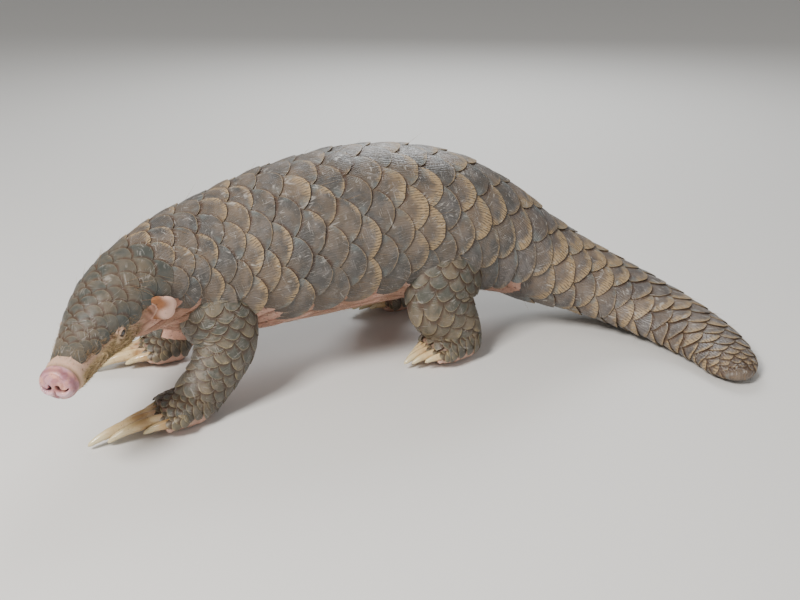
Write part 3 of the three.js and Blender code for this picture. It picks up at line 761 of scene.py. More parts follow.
lift = (mouth + lid + cheek) * behind + collar * ~pad + (fold + root) * (1 - scaled) - SUNK * scaled
lift = lift - BARE * (1 - scaled) * behind
points = points + outward * np.where(pad, 0, lift)[:, None]
points[column == BODY_SIDES] = points[column == 0]
set_coordinates(body_mesh, in_grid_order(points, order) * MM)
masks = {
    "pad": np.where(pad, 1, 1 - ramp(s, 5, 8.5)),
    # Nostrils, the mouth's slit and the eye's opening are painted near black as shade.
    "dark": np.maximum(hole, np.maximum(slit * 0.8, opening)),
    "moist": np.where(pad, 0.45 + 0.55 * moist, 0),
    "lid": socket,
    # Creases take dirt and painted shade in folds and grooves; round the ear's root they hold its real stain.
    "crease": np.maximum(np.maximum(crease, pad_crease), ear_stain),
    "scaled": scaled_mask(s, arc, half, 0.06, 0.05),
    "beard": ramp(s, 8, 14) * (1 - ramp(s, 66, 80)) * ramp(np.abs(arc), 0.4 * half, 0.5 * half),
    "face": 1 - ramp(s, 74, 98),
    "foot": np.zeros(len(s)),
    "ear": np.zeros(len(s)),
}
placed = {name: in_grid_order(np.asarray(values, float), order) for name, values in masks.items()}
set_attributes(body_mesh, **placed)
weld(body_mesh)
print("body hide", len(body_mesh.polygons), "faces from", len(rings), "rings")

# %% [markdown]
# Legs, feet and toes.
# Each of these is a Form of its own on the same stations as the solids. A toe is a short sausage that
# the claw grows from. They overlap each other and the body well, so that one Boolean union can make a
# single hide without a seam.

# %% Forms of legs, feet and toes
def side_name(side):
    return "left" if side < 0 else "right"


def leg_form(kind, side, step):
    """A leg, with its lower end moved by the whole step and its upper end not at all."""
    rows = LEG_STATIONS[kind]
    last = len(rows) - 1
    moved = [[x + step * k / last, side * y, *more] for k, (x, y, *more) in enumerate(rows)]
    return Form(moved, [0, side, 0], start_round=12, end_round=5)


def foot_form(kind, side, step):
    moved = [[x + step, side * y, *more] for x, y, *more in FOOT_STATIONS[kind]]
    return Form(moved, [0, 0, 1], start_round=9, end_round=8)


def claw_lines(kind, side, foot):
    """Root, forward direction, length and thickness of each claw, from the inner toe outwards."""
    claws = CLAWS[kind]
    centre, along = (v[0] for v in foot.frame(foot.length)[:2])
    lines = []
    for k, long in enumerate(claws["lengths"]):
        aside = (k - 2) * side
        turn = -math.radians(aside * claws["turn"])
        forward = np.array([
            along[0] * math.cos(turn) - along[1] * math.sin(turn),
            along[0] * math.sin(turn) + along[1] * math.cos(turn),
            along[2],
        ])
        root = centre + np.array([-along[0] * (9 + 3 * abs(k - 2)), -aside * claws["spread"], 0])
        lines.append((root, forward, long, 0.62 + 0.38 * long / max(claws["lengths"])))
    return lines


def toe_form(kind, line):
    root, forward, _, size = line
    claws = CLAWS[kind]
    thick, high, reach = claws["thick"] * size + 1.5, claws["high"] * size + 1.3, claws["toe"]
    rows = [
        [*(root - forward * 7), thick * 0.9, high * 0.9, high * 0.9],
        [*(root + forward * 2 + [0, 0, 0.6]), thick * 1.05, high * 1.1, high],
        [*(root + forward * reach * 0.6 + [0, 0, 0.4]), thick, high, high * 0.95],
        [*(root + forward * reach), thick * 0.9, high * 0.85, high * 0.85],
    ]
    rows = [[*(np.array(row[:3]) - SHIFT), *row[3:]] for row in rows]
    return Form(rows, [0, 0, 1], start_round=4, end_round=4)


limbs = []
for kind, side, step in LIMBS:
    foot = foot_form(kind, side, step)
    lines = claw_lines(kind, side, foot)
    forms = {"leg": [leg_form(kind, side, step)], "foot": [foot]}
    forms["toe"] = [toe_form(kind, line) for line in lines]
    limbs.append((kind, side, lines, forms))
print(len(limbs), "limbs, the first", round(limbs[0][3]["leg"][0].length), "mm long down to its foot")

# %% [markdown]
# Their hide, and the ears.
# Every tube carries all the masks, or the union could not keep them. Wrinkles run across a limb, and
# the hide lies lower where plates will cover it. The ear is a fleshy flap with a shallow cup, pressed
# from a ball.

# %% Hide of limbs and ears
SKIN = {  # ring spacing in mm, sides, wrinkle height, wrinkle spacing, depth under plates, sole mask
    "leg": (3.4, 60, 0.25, 2.89, 1.2, 0.35),
    "foot": (2, 60, 0.25, 1.7, 1.2, 1),
    "toe": (1.8, 22, 0.12, 0.9, 1.5, 1),
}


def ring_places(form, step):
    """Even places between the rounded ends, and close ones on them."""
    start = form.start_round * (1 - np.cos(np.linspace(0, math.pi / 2, 7)))
    end = form.length - form.end_round * (1 - np.cos(np.linspace(math.pi / 2, 0, 7)))
    count = max(int((form.length - form.start_round - form.end_round) / step), 2)
    return np.concatenate([start, np.linspace(start[-1], end[0], count + 1)[1:-1], end])


def plain_masks(mesh, **given):
    """Gives a mesh the masks that it lacks, 0 where no value is given."""
    missing = [name for name in masks if name not in mesh.attributes]
    set_attributes(mesh, **{name: given.get(name, 0) for name in missing})
    return mesh


def limb_mesh(part, form, cover):
    step, sides, amount, spacing, sunk, sole = SKIN[part]

    def shape(s, turn, outward):
        wave = np.sin(s / spacing + 0.8 * np.sin(2 * turn)) + 0.5 * np.sin(s / spacing * 1.9 + 3 * turn)
        return outward * (amount * wave - BARE - sunk * under_plates(turn, cover))[:, None]

    return plain_masks(tube(part, form, ring_places(form, step), sides, shape, cover), foot=sole)


def ear_axes(side):
    """The ear's middle, its length, its width and the way it faces."""
    _, along, _, up, _ = (v[0] for v in body.frame(EAR_S))
    place = np.array([EAR_S]), np.array([side * EAR_ARC])
    length = unit(EAR_LEAN["out"] * body.normal(*place)[0] + EAR_LEAN["back"] * along - EAR_LEAN["down"] * up)
    facing = unit(-side * np.cross(length, up))
    middle = body.at(*place)[0] + length * EAR["length"] * 0.55
    return middle, length, np.cross(facing, length), facing


def ear_mesh(side):
    """A ball pressed into a cupped flap with a thick rolled rim."""
    mesh = ball_mesh("ear", 48, 30)
    x, y, z = coordinates(mesh).T
    r = np.hypot(x, y)
    spread = 1 + 0.16 * np.abs(np.sin(2 * np.arctan2(y, x))) * r
    thick = EAR["thick"] * z * (0.8 + 0.28 * bump(r - 0.84, 0.16))
    dimple = -1.5 * bump(np.hypot(x + 0.25, y), 0.5) + 0.3 * np.sin(5 * x + 3 * y) * (1 - r)
    cup = dimple + 0.9 * (1 - np.abs(z)) * ramp(r, 0.5, 1) - 1.6 * r**2
    middle, *axes = ear_axes(side)
    measures = [x * EAR["length"] * spread, y * EAR["width"] * spread * (0.93 + 0.05 * x), thick + cup]
    set_coordinates(mesh, (middle + laid_out(measures, axes)) * MM)
    plain_masks(mesh, ear=1)
    set_attributes(mesh, crease=0.95 * ramp(0.25 * np.sin(4 * y) - x, -0.5, 0.25))
    weld(mesh)
    return mesh


flesh = [body_mesh]
for kind, side, lines, forms in limbs:
    for part in SKIN:
        flesh += [limb_mesh(part, form, LIMB_SCALES[kind][part][1]) for form in forms[part]]
flesh += [ear_mesh(-1), ear_mesh(1)]
print(len(flesh), "closed forms for the hide")

# %% [markdown]
# One hide.
# The union is by the MANIFOLD solver, which is quick on dense closed meshes. It keeps the vertex
# masks. Where two forms meet it leaves a hard crease, so the vertices beside each new crease are
# smoothed a little, and the soles are pressed flat on the floor.

# %% Union and smoothing
CLEAR = {"hide": 0.0003, "plates": 0.001, "claws": 0.0002, "hair": 0.0004}  # metres over the floor


def union(meshes):
    """One closed mesh from several that overlap."""
    base = new_object("hide", meshes[0])
    others = bpy.data.collections.new("others")
    bpy.context.scene.collection.children.link(others)
    for mesh in meshes[1:]:
        others.objects.link(bpy.data.objects.new("other", mesh))
    boolean = base.modifiers.new("union", "BOOLEAN")
    boolean.operation, boolean.solver = "UNION", "MANIFOLD"
    boolean.operand_type, boolean.collection = "COLLECTION", others
    mesh = applied(base)
    for other in list(others.objects):
        bpy.data.objects.remove(other)
    bpy.data.collections.remove(others)
    return mesh


def soften_junctions(mesh, rings_out=4, rounds=14):
    """Smooths the vertices near the creases where two of the joined forms meet."""
    edges = np.empty(len(mesh.edges) * 2, np.int32)
    mesh.edges.foreach_get("vertices", edges)
    a, b = edges.reshape(-1, 2).T
    form = read_attribute(mesh, "form")
    near = np.zeros(len(form))
    near[a[form[a] != form[b]]] = 1
    near[b[form[a] != form[b]]] = 1
    for _ in range(rings_out):
        spread = near.copy()
        np.maximum.at(spread, a, near[b] * 0.8)
        np.maximum.at(spread, b, near[a] * 0.8)
        near = spread
    count = np.zeros(len(form))
    np.add.at(count, a, 1)
    np.add.at(count, b, 1)
    points = coordinates(mesh)
    for _ in range(rounds):
        total = np.zeros_like(points)
        np.add.at(total, a, points[b])
        np.add.at(total, b, points[a])
        points += (total / count[:, None] - points) * (0.6 * near)[:, None]
    return points


for number, mesh in enumerate(flesh):
    set_attributes(mesh, form=number)
hide_mesh = union(flesh)
set_coordinates(hide_mesh, above_floor(soften_junctions(hide_mesh), CLEAR["hide"]))
print("hide", len(hide_mesh.vertices), "vertices from", len(flesh), "forms")

# %% [markdown]
# Nodes written as sums.
# The finishes need long chains of Math nodes. A Value stands for the output of a node, and adding
# it to something adds the node that does so, which keeps a formula to one line.

# %% Values
def reckoned(operation, swapped=False):
    """An operator of Value that adds a Math node."""
    def method(self, other):
        return self.graph.math(operation, *((other, self) if swapped else (self, other)))
    return method


class Value:
    """A node's output that can be reckoned with like a number."""

    def __init__(self, graph, socket):
        self.graph, self.socket = graph, socket

    __add__, __radd__ = reckoned("ADD"), reckoned("ADD", swapped=True)
    __sub__, __rsub__ = reckoned("SUBTRACT"), reckoned("SUBTRACT", swapped=True)
    __mul__, __truediv__, __pow__ = reckoned("MULTIPLY"), reckoned("DIVIDE"), reckoned("POWER")
    at_least, at_most = reckoned("MAXIMUM"), reckoned("MINIMUM")

    def __abs__(self):
        return self.graph.math("ABSOLUTE", self)

    def sine(self):
        return self.graph.math("SINE", self)

    def clamped(self):
        """The same value, kept between 0 and 1 by its own node."""
        self.socket.node.use_clamp = True
        return self


print("values can be added, multiplied and raised to a power")

# %% [markdown]
# The graph.
# A Graph adds nodes to one tree. It has a method for each kind of node that the lesson uses, and one
# that paints coats of colour over each other.

# %% A short way to write nodes
class Graph:
    """Adds nodes to a tree. What a socket is given is a number, a colour or a Value."""

    def __init__(self, tree):
        self.tree = tree

    def put(self, socket, value):
        if isinstance(value, Value):
            self.tree.links.new(value.socket, socket)
        elif socket.type == "RGBA":
            socket.default_value = (*value, 1)
        else:
            socket.default_value = value

    def node(self, kind, output, sockets, **settings):
        """One output of a new node, whose inputs are given by name or by number."""
        made = self.tree.nodes.new("ShaderNode" + kind)
        for name, value in settings.items():
            setattr(made, name, value)
        for key, value in sockets.items():
            self.put(made.inputs[key], value)
        return Value(self, made.outputs[output])

    def use(self, tree, **values):
        """All outputs of a node group, by name."""
        made = self.tree.nodes.new("ShaderNodeGroup")
        made.node_tree = tree
        for name, value in values.items():
            self.put(made.inputs[name], value)
        return {socket.name: Value(self, socket) for socket in made.outputs}

    def math(self, operation, *values):
        return self.node("Math", 0, dict(enumerate(values)), operation=operation)

    def span(self, value, low, high, to_low=0.0, to_high=1.0):
        """A smooth step of a value between two limits."""
        sockets = {"Value": value, "From Min": low, "From Max": high, "To Min": to_low, "To Max": to_high}
        return self.node("MapRange", "Result", sockets, interpolation_type="SMOOTHSTEP")

    def mix(self, factor, a, b):
        return self.node("Mix", 2, {0: factor, 6: a, 7: b}, data_type="RGBA")

    def paint(self, colour, *coats):
        """Lays coats over a colour, each given by its mask and its own colour."""
        for mask, coat in coats:
            colour = self.mix(mask, colour, coat)
        return colour

    def noise(self, vector, scale, detail=3.0, roughness=0.5, distortion=0.0):
        fixed = {"Roughness": roughness, "Distortion": distortion}
        return self.node("TexNoise", "Fac", {"Vector": vector, "Scale": scale, "Detail": detail, **fixed})

    def scaled(self, vector, factors, turn=(0, 0, 0)):
        return self.node("Mapping", "Vector", {"Vector": vector, "Scale": factors, "Rotation": turn})

    def point(self, x, y, z):
        return self.node("CombineXYZ", "Vector", {"X": x, "Y": y, "Z": z})

    def attribute(self, name):
        return self.node("Attribute", "Fac", {}, attribute_name=name)

    def position(self):
        return self.node("TexCoord", "Object", {})


print("a graph has", [name for name in vars(Graph) if name[0] != "_"])

# %% [markdown]
# Groups and materials.
# A group is made from its named inputs with their values, the names of its outputs, and a function
# that fills it. A material is made from a function that returns what the Principled shader is given.
# A height goes through a Bump node.

# %% Making groups and materials
def interface_socket(tree, name, in_out, colour):
    kind = "NodeSocketColor" if colour else "NodeSocketFloat"
    return tree.interface.new_socket(name, in_out=in_out, socket_type=kind)


def group(name, inputs, outputs, build):
    """A node group with float or colour sockets; build(graph, inputs) gives its outputs by name."""
    tree = bpy.data.node_groups.new(name, "ShaderNodeTree")
    for key, value in inputs.items():
        colour = isinstance(value, tuple)
        interface_socket(tree, key, "INPUT", colour).default_value = (*value, 1) if colour else value
    for key in outputs:
        interface_socket(tree, key, "OUTPUT", key == "Colour")
    graph = Graph(tree)
    start, end = tree.nodes.new("NodeGroupInput"), tree.nodes.new("NodeGroupOutput")
    result = build(graph, {socket.name: Value(graph, socket) for socket in start.outputs})
    for key, value in result.items():
        graph.put(end.inputs[key], value)
    return tree


def material(name, build, fixed=(), strength=0.5):
    """A material whose build(graph) gives values by the names of the Principled shader's inputs."""
    made = bpy.data.materials.new(name)
    made.use_nodes = True
    graph = Graph(made.node_tree)
    given = {**dict(fixed), **build(graph)}
    if "Height" in given:
        sockets = {"Height": given.pop("Height"), "Distance": 0.001, "Strength": strength}
        given["Normal"] = graph.node("Bump", "Normal", sockets)
    for key, value in given.items():
        graph.put(made.node_tree.nodes["Principled BSDF"].inputs[key], value)
    return made


print("a group or a material now takes one call")

# %% [markdown]
# Scratches, dirt, grain and the plate's own pattern.
# Horn, hide and claw share some effects, and each of these is a shader node group, built once, that
# reads Object coordinates or the plates' own attributes.
# Every plate carries its own coordinates: how far across it a point lies and how far from its root,
# in steps of the plates' rows. With them a group can find the plate's free edge, the shadowed line
# where it slips under its neighbours, and the fine ridges that fan out from its root.

# %% Node groups
PLATE_CURVE = 1.7  # how square the rounded edge of a plate is
TURN = 6.283  # a whole turn, in radians
SCRATCH_TURNS = [(0.3, 0.2, 0.5), (1.2, 0.5, 1.9), (0.1, 1.1, 2.7), (0.8, 2.2, 1.1)]


def build_edge(g, given):
    """mm to the plate's own free edge, and mm to the edges of the plates over it."""
    def edge(x):
        inside = 1 - abs(x).at_most(1) ** PLATE_CURVE
        return inside.at_least(0) ** (1 / PLATE_CURVE) - 1
    across, along, size = given["Across"], given["Along"], given["Size"]
    over = (edge(1 - abs(across)) - 1).at_least(edge(across) - 2)
    return {"Rim": (edge(across) - along) * size, "Tuck": (along - over) * size}


def build_striae(g, given):
    """Fine ridges that fan out from the root, a little wavy, as a mask of their grooves."""
    along = given["Along"]
    fan = given["Across"] / (1.16 + along * 0.16) * given["Size"]
    place = g.point(fan * 0.12, along * 0.7, given["Tone"])
    phase = fan * TURN / given["Spacing"] + g.noise(place, 2.2, 2) * 9
    broken = g.span(g.noise(g.scaled(place, (3, 1.4, 9)), 4), 0.35, 0.6)
    return {"Lines": (0.5 + phase.sine() * 0.5) ** 1.6 * broken}


def build_scratches(g, given):
    """Hair-fine straight marks in a few directions, each a thin band of a stretched noise."""
    position, marks = g.position(), 0.0
    for k, turn in enumerate(SCRATCH_TURNS):
        turned = g.scaled(position, (1, 1, 1), turn)
        band = abs(g.noise(g.scaled(turned, (1100, 34, 34)), 0.35, 1.5) - (0.5 + 0.02 * k))
        line = g.span(band, 0, 0.016, 1, 0) * g.span(g.noise(turned, 120, 2), 0.52, 0.64)
        marks = line.at_least(marks)
    return {"Marks": marks * given["Amount"]}


def build_dirt(g, given):
    """Caked dirt in patches and loose dark specks."""
    position = g.position()
    patches = g.span(g.noise(position, 34, 6, 0.65), 0.58, 0.38)
    specks = g.span(g.noise(position, 520, 2, 0.7, 0.6), 0.63, 0.68)
    some = g.span(g.noise(position, 70), 0.38, 0.58)
    return {"Dirt": patches * given["Cling"], "Specks": specks * some * given["Specks"]}


def build_grain(g, given):
    """Fine creases and pores, as a height."""
    place = {"Vector": g.position(), "Scale": given["Scale"]}
    cells = g.node("TexVoronoi", "Distance", place, feature="DISTANCE_TO_EDGE")
    fine = g.noise(place["Vector"], given["Scale"] * 1.7, 3, 0.6)
    return {"Height": g.span(cells, 0, 0.22) * 0.6 + fine * 0.5}


plate_inputs = {"Across": 0, "Along": 0, "Size": 20}
plate_edges = group("Plate edges", plate_inputs, ["Rim", "Tuck"], build_edge)
striae = group("Plate striae", {**plate_inputs, "Tone": 0, "Spacing": 1.2}, ["Lines"], build_striae)
scratches = group("Scratches", {"Amount": 1}, ["Marks"], build_scratches)
dirt = group("Dirt", {"Cling": 1, "Specks": 1}, ["Dirt", "Specks"], build_dirt)
grain = group("Skin grain", {"Scale": 900}, ["Height"], build_grain)
print(len(bpy.data.node_groups), "node groups")

# %% [markdown]
# Horn.
# A pangolin's scale is compressed horn, like a fingernail. Near its root it is slate and smooth, and
# towards the free edge it wears to straw-coloured ridges. Its flanks are worn to a pale bloom, its
# middle is hazy with scratches, its rim is thin and pale with a painted highlight along it, and
# reddish dirt with painted shade is packed under the neighbours. One group does all this, and body,
# tail, head, legs and toes set its inputs.

# %% Horn group
SLATE, TAUPE, STRAW, BLACK = (0.064, 0.059, 0.054), (0.115, 0.086, 0.062), (0.38, 0.265, 0.135), (0, 0, 0)
HAZE, BLOOM, CLAY = (0.19, 0.172, 0.165), (0.145, 0.168, 0.165), (0.2, 0.13, 0.07)
# The packed colour is reddish dirt together with painted shade, for where a plate slips under others.
PACKED_DIRT_AND_SHADE, SCRATCH = (0.055, 0.026, 0.012), (0.46, 0.43, 0.39)


def build_horn(g, given):
    """Colour, roughness and height of horn from its tones and from how far it is worn."""
    across, along, tone = g.attribute("across"), g.attribute("along"), g.attribute("tone")
    slate, taupe, straw, bloom = (given[name] for name in ("Slate", "Taupe", "Straw", "Bloom"))
    middle, plate = abs(across), {"Across": across, "Along": along, "Size": g.attribute("pitch")}
    edges = g.use(plate_edges, **plate)
    ridges = g.use(striae, **plate, Tone=tone * 40, Spacing=given["Spacing"])["Lines"]
    marked = g.use(scratches, Amount=given["Marks"])["Marks"]
    soil = g.use(dirt, Cling=1.0, Specks=0.6)["Dirt"]
    place = g.point(across, along, tone * 90)
    cloud = g.noise(place, 1.3, 4, 0.6)
    patch = g.noise(g.scaled(place, (1.6, 1.6, 1.3)), 1)

    haze = g.span(middle, 0.25, 0.9, 1, 0) * g.span(along, -1.7, -0.6) * g.span(patch, 0.4, 0.62)
    flank = g.span(middle, 0.4, 0.75) * g.span(patch, 0.42, 0.58, 1, 0) * g.span(along, -1.5, -0.9)
    reach = along * 0.5 + middle * 0.3 + cloud * 0.7
    wear = tone * 0.2 + g.attribute("wear") * 0.16 + given["Worn"] + 0.1
    used = g.span(reach + wear, 0.6, 0.9)
    # Dirt and painted shade where a plate slips under the plates over it, weaker where no plate lies over its
    # root.
    tuck_dirt_and_shade = g.span(edges["Tuck"], 0.8, 5.5, 1, 0) * g.span(cloud, 0.25, 0.6, 0.7, 1)
    tuck_dirt_and_shade = tuck_dirt_and_shade * (1 - g.attribute("open") * 0.8)
    colour = g.paint(
        g.mix(g.span(cloud + tone * 0.16, 0.4, 0.7), slate, taupe),
        (haze * bloom * 0.4, HAZE),
        (used * 0.85, g.mix(ridges, straw, g.mix(0.7, taupe, BLACK))),
        (ridges * given["Lines"] * 0.5, g.mix(0.6, slate, BLACK)),
        (flank * bloom * 0.6, BLOOM),
        # A pale rim along the free edge: thin worn horn, and a painted highlight.
        (g.span(edges["Rim"], 0.2, 1.3, 1, 0) * 0.45, straw),
        (soil * 0.25, CLAY),
        (tuck_dirt_and_shade * 0.85, PACKED_DIRT_AND_SHADE),
        (marked * 0.5, SCRATCH),
        (g.attribute("under"), g.mix(0.5, taupe, BLACK)),
    )
    rough = (given["Gloss"] + used * 0.16 + soil * 0.1).clamped()
    return {
        "Colour": colour,
        "Roughness": rough,
        "Height": cloud * 0.5 - ridges * given["Relief"] - marked * 0.35,
    }


print("horn is mixed from", SLATE, TAUPE, "and", STRAW)

# %% [markdown]
# The finishes of horn.
# The body's finish is the group's own. The tail is paler and more worn. The head's scales are small,
# dark and smooth, and those of legs and toes are greener and paler with hardly a ridge.

# %% Horn finishes
horn_inputs = {
    "Slate": SLATE, "Taupe": TAUPE, "Straw": STRAW, "Worn": 0.22, "Bloom": 0.8, "Lines": 0.6,
    "Relief": 0.55, "Spacing": 2.1, "Marks": 1, "Gloss": 0.35,
}
horn = group("Horn", horn_inputs, ["Colour", "Roughness", "Height"], build_horn)


def horn_material(name, **finish):
    """Horn with some of the group's inputs set otherwise."""
    def build(g):
        made = g.use(horn, **finish)
        return {"Base Color": made["Colour"], "Roughness": made["Roughness"], "Height": made["Height"]}
    return material(name, build, strength=0.55)


horn_body = horn_material("horn_body")
horn_tail = horn_material(
    "horn_tail", Slate=(0.082, 0.071, 0.066), Taupe=(0.142, 0.104, 0.075),
    Worn=0.26, Bloom=1, Relief=0.65, Marks=1.2, Gloss=0.33,
)
horn_head = horn_material(
    "horn_head", Slate=(0.046, 0.049, 0.042), Taupe=(0.072, 0.066, 0.05), Straw=(0.17, 0.145, 0.09),
    Worn=-0.16, Bloom=0.3, Lines=0.03, Relief=0.03, Spacing=0.8, Marks=0.6, Gloss=0.38,
)
horn_legs = horn_material(
    "horn_legs", Slate=(0.062, 0.062, 0.048), Taupe=(0.125, 0.103, 0.068), Straw=(0.3, 0.24, 0.13),
    Worn=0.0, Bloom=0.5, Lines=0.12, Relief=0.22, Spacing=0.9, Marks=0.7, Gloss=0.36,
)
horn_toes = horn_material(
    "horn_toes", Slate=(0.12, 0.105, 0.07), Taupe=(0.21, 0.165, 0.095), Straw=(0.42, 0.33, 0.17),
    Worn=0.12, Bloom=0.2, Lines=0.05, Relief=0.1, Spacing=0.9, Marks=0.3, Gloss=0.35,
)
print("five finishes of horn")

# %% [markdown]
# The skin.
# The bare hide is thin and pink, dirtier and painted in shade in its folds and grooves, pale on the
# nose and buff where short hair grows on cheeks and chin. The masks made with its shape say which is
# where. A little light scatters in it, as in any skin.

# %% Hide material
PINK, ROSE, VEIN = (0.43, 0.225, 0.16), (0.6, 0.37, 0.285), (0.42, 0.16, 0.12)
# The fold colour is dirt settled in the folds, darkened further as painted shade.
SOIL, FOLD_DIRT_AND_SHADE, MUZZLE = (0.2, 0.095, 0.04), (0.135, 0.048, 0.016), (0.6, 0.42, 0.29)
# The hollow colour is painted shade, nearly black, for nostrils, mouth and eye.
CRUMB, SPECK, HOLLOW_SHADE = (0.075, 0.036, 0.018), (0.06, 0.035, 0.02), (0.03, 0.008, 0.008)
BEARD, FOOT_SKIN = (0.47, 0.34, 0.17), (0.58, 0.38, 0.29)
LID, LID_DARK, EAR_SKIN = (0.36, 0.24, 0.2), (0.15, 0.1, 0.085), (0.7, 0.46, 0.37)
STAIN, STAIN_DARK, UNDER_SCALES = (0.24, 0.085, 0.022), (0.1, 0.035, 0.011), (0.11, 0.066, 0.04)


def pad_colour(g, position, mask, veins, specks):
    """The wet nose: mottled pink and mauve, with dark veins, a painted pale sheen where it is moist and
    painted shade in its creases.
    """
    mottle = g.noise(position, 120, 4, 0.65)
    return g.paint(
        g.mix(g.span(mottle, 0.36, 0.62), (0.6, 0.29, 0.23), (0.45, 0.23, 0.27)),
        (g.span(veins, 0.5, 0.66, 0, 0.6), (0.26, 0.09, 0.11)),
        # A painted sheen: pale lilac where the pad is moist, standing in for wet highlights.
        (g.span(mask["moist"], 0.55, 1, 0, 0.75), (0.56, 0.38, 0.44)),
        # Painted shade in the crease round the pad's edge and in the groove behind it.
        (mask["crease"] * 0.8, (0.14, 0.04, 0.045)),
        (specks * 0.6, (0.2, 0.1, 0.09)),
    )


def build_hide(g):
    position, mask = g.position(), {name: g.attribute(name) for name in masks}
    soil = g.use(dirt, Cling=1.0, Specks=1.0)
    blotch, veins = g.noise(position, 42, 4, 0.6), g.noise(position, 160)
    clean = mask["face"].at_least(mask["foot"]).at_least(mask["ear"])
    crumbs = g.span(g.noise(position, 340, 3, 0.7, 0.5), 0.57, 0.63)
    crumbs = (crumbs * g.span(g.noise(position, 48), 0.36, 0.56) * (1 - clean)).clamped()
    colour = g.paint(
        g.mix(g.span(blotch, 0.35, 0.68), PINK, ROSE),
        (g.span(veins, 0.56, 0.7, 0, 0.35), VEIN),
        (soil["Dirt"] * g.span(mask["face"], 0, 1, 0.62, 0.12), SOIL),
        # Dirt and painted shade in the folds, the jaw's groove and the groove behind the pad.
        ((mask["crease"] * 1.2).clamped(), FOLD_DIRT_AND_SHADE),
        (mask["face"] * 0.5, MUZZLE),
        (mask["beard"] * 0.75, BEARD),
        (mask["lid"] * 0.55, g.mix(g.span(veins, 0.4, 0.62), LID, LID_DARK)),
        (mask["ear"] * 0.7, EAR_SKIN),
        (mask["ear"] * mask["crease"], g.mix(soil["Dirt"], STAIN, STAIN_DARK)),
        (mask["foot"] * 0.6, FOOT_SKIN),
        (crumbs * 0.8, CRUMB),
        (mask["scaled"], UNDER_SCALES),
        (soil["Specks"], SPECK),
        (mask["pad"], pad_colour(g, position, mask, veins, soil["Specks"])),
        # Painted shade: nostrils, the mouth's slit and the lids' opening made nearly black.
        (mask["dark"], HOLLOW_SHADE),
    )
    rough = 0.62 - mask["pad"] * 0.26 - g.span(mask["moist"], 0.4, 0.9, 0, 0.24)
    coarse = g.span(mask["pad"].at_least(mask["ear"]), 0, 1, 0.6, 0.12)
    height = g.use(grain, Scale=900.0)["Height"] * coarse + blotch * 0.4
    return {"Base Color": colour, "Roughness": rough, "Height": height}


glow = {"Subsurface Weight": 0.12, "Subsurface Scale": 0.004, "Subsurface Radius": (1.0, 0.35, 0.2)}
hide_skin = material("hide", build_hide, glow)
print("the hide's nodes:", len(hide_skin.node_tree.nodes))

# %% [markdown]
# Claw and eye.
# A claw is amber horn with fibres along it, pink at its root and worn pale at its tip. The eye is dark
# and wet, with a faint haze.

# %% Claw and eye materials
def build_claw(g):
    along = g.attribute("along")
    soil, marked = g.use(dirt, Cling=1.0, Specks=0.8), g.use(scratches, Amount=0.5)["Marks"]
    place = g.point(g.attribute("across"), along * 0.12, g.attribute("tone"))
    fibres, cloud = g.noise(g.scaled(place, (5, 1, 40)), 2, 2), g.noise(g.position(), 75, 4, 0.6)
    colour = g.paint(
        g.mix(g.span(cloud, 0.35, 0.65), (0.66, 0.5, 0.28), (0.58, 0.39, 0.18)),
        (g.span(fibres, 0.4, 0.65, 0, 0.4), (0.48, 0.32, 0.15)),
        (g.span(along, 0.5, 0.95, 0, 0.8), (0.66, 0.59, 0.36)),
        (g.span(cloud, 0.46, 0.6) * g.span(along, 0.15, 0.6, 0.85, 0.1), (0.24, 0.115, 0.035)),
        (g.span(along, 0.03, 0.3, 0.9, 0), (0.5, 0.28, 0.2)),
        (soil["Dirt"] * 0.15, (0.25, 0.15, 0.07)),
        (soil["Specks"] * 0.8, (0.1, 0.06, 0.03)),
        (marked * 0.7, (0.4, 0.27, 0.15)),
    )
    rough = g.span(cloud, 0.3, 0.7, 0.2, 0.32)
    return {"Base Color": colour, "Roughness": rough, "Height": fibres * 0.3 - marked * 0.3}


def build_eye(g):
    cloud = g.noise(g.position(), 600, 2)
    return {"Base Color": g.mix(g.span(cloud, 0.4, 0.7), (0.02, 0.016, 0.014), (0.07, 0.07, 0.075))}


claw_horn = material("claw_horn", build_claw, {"Coat Weight": 0.35}, strength=0.18)
eye_gloss = material("eye_gloss", build_eye, {"Roughness": 0.08, "Coat Weight": 0.6})
print(len(bpy.data.materials), "materials")

# %% [markdown]
# Fitting the hide.
# The hide stands for every flesh node of the solids.

# %% Hide piece
BODY_NODES = ["head", "neck", "trunk_front", "trunk_rear", "tail_root", "tail_middle", "tail_tip"]
PAIRS = [part + "_" + side_name(side) for part in ("ear", "foreleg", "forefoot", "hindleg", "hindfoot")
         for side in (-1, 1)]
hide_mesh.attributes.remove(hide_mesh.attributes["form"])
piece("hide", hide_mesh, hide_skin, BODY_NODES + PAIRS)

# %% [markdown]
# The scales.
# A scale is a curved plate, wide as two columns and rooted two to three rows up. Its root lies on the
# hide under the plates before it, and its rounded free edge stands clear of the plates after it. One
# small grid is copied by an Array modifier, each copy is bent on to its place by its formula, and a
# Solidify modifier gives it thickness in proportion to its size.

# %% Scale plates
PLATE_ACROSS, PLATE_ALONG = 10, 4  # faces
PLATE_ROOT, PLATE_WIDE = 2.6, 1.04  # rows behind the tip, and columns
THICK = 0.26  # of the height of its tip
RAGGED, CHIP = 0.02, 0.1  # how uneven the free edge is, and how deep its chips are, in rows


def even(value):
    """The same value at every place of a form."""
    return lambda share: value + 0 * share


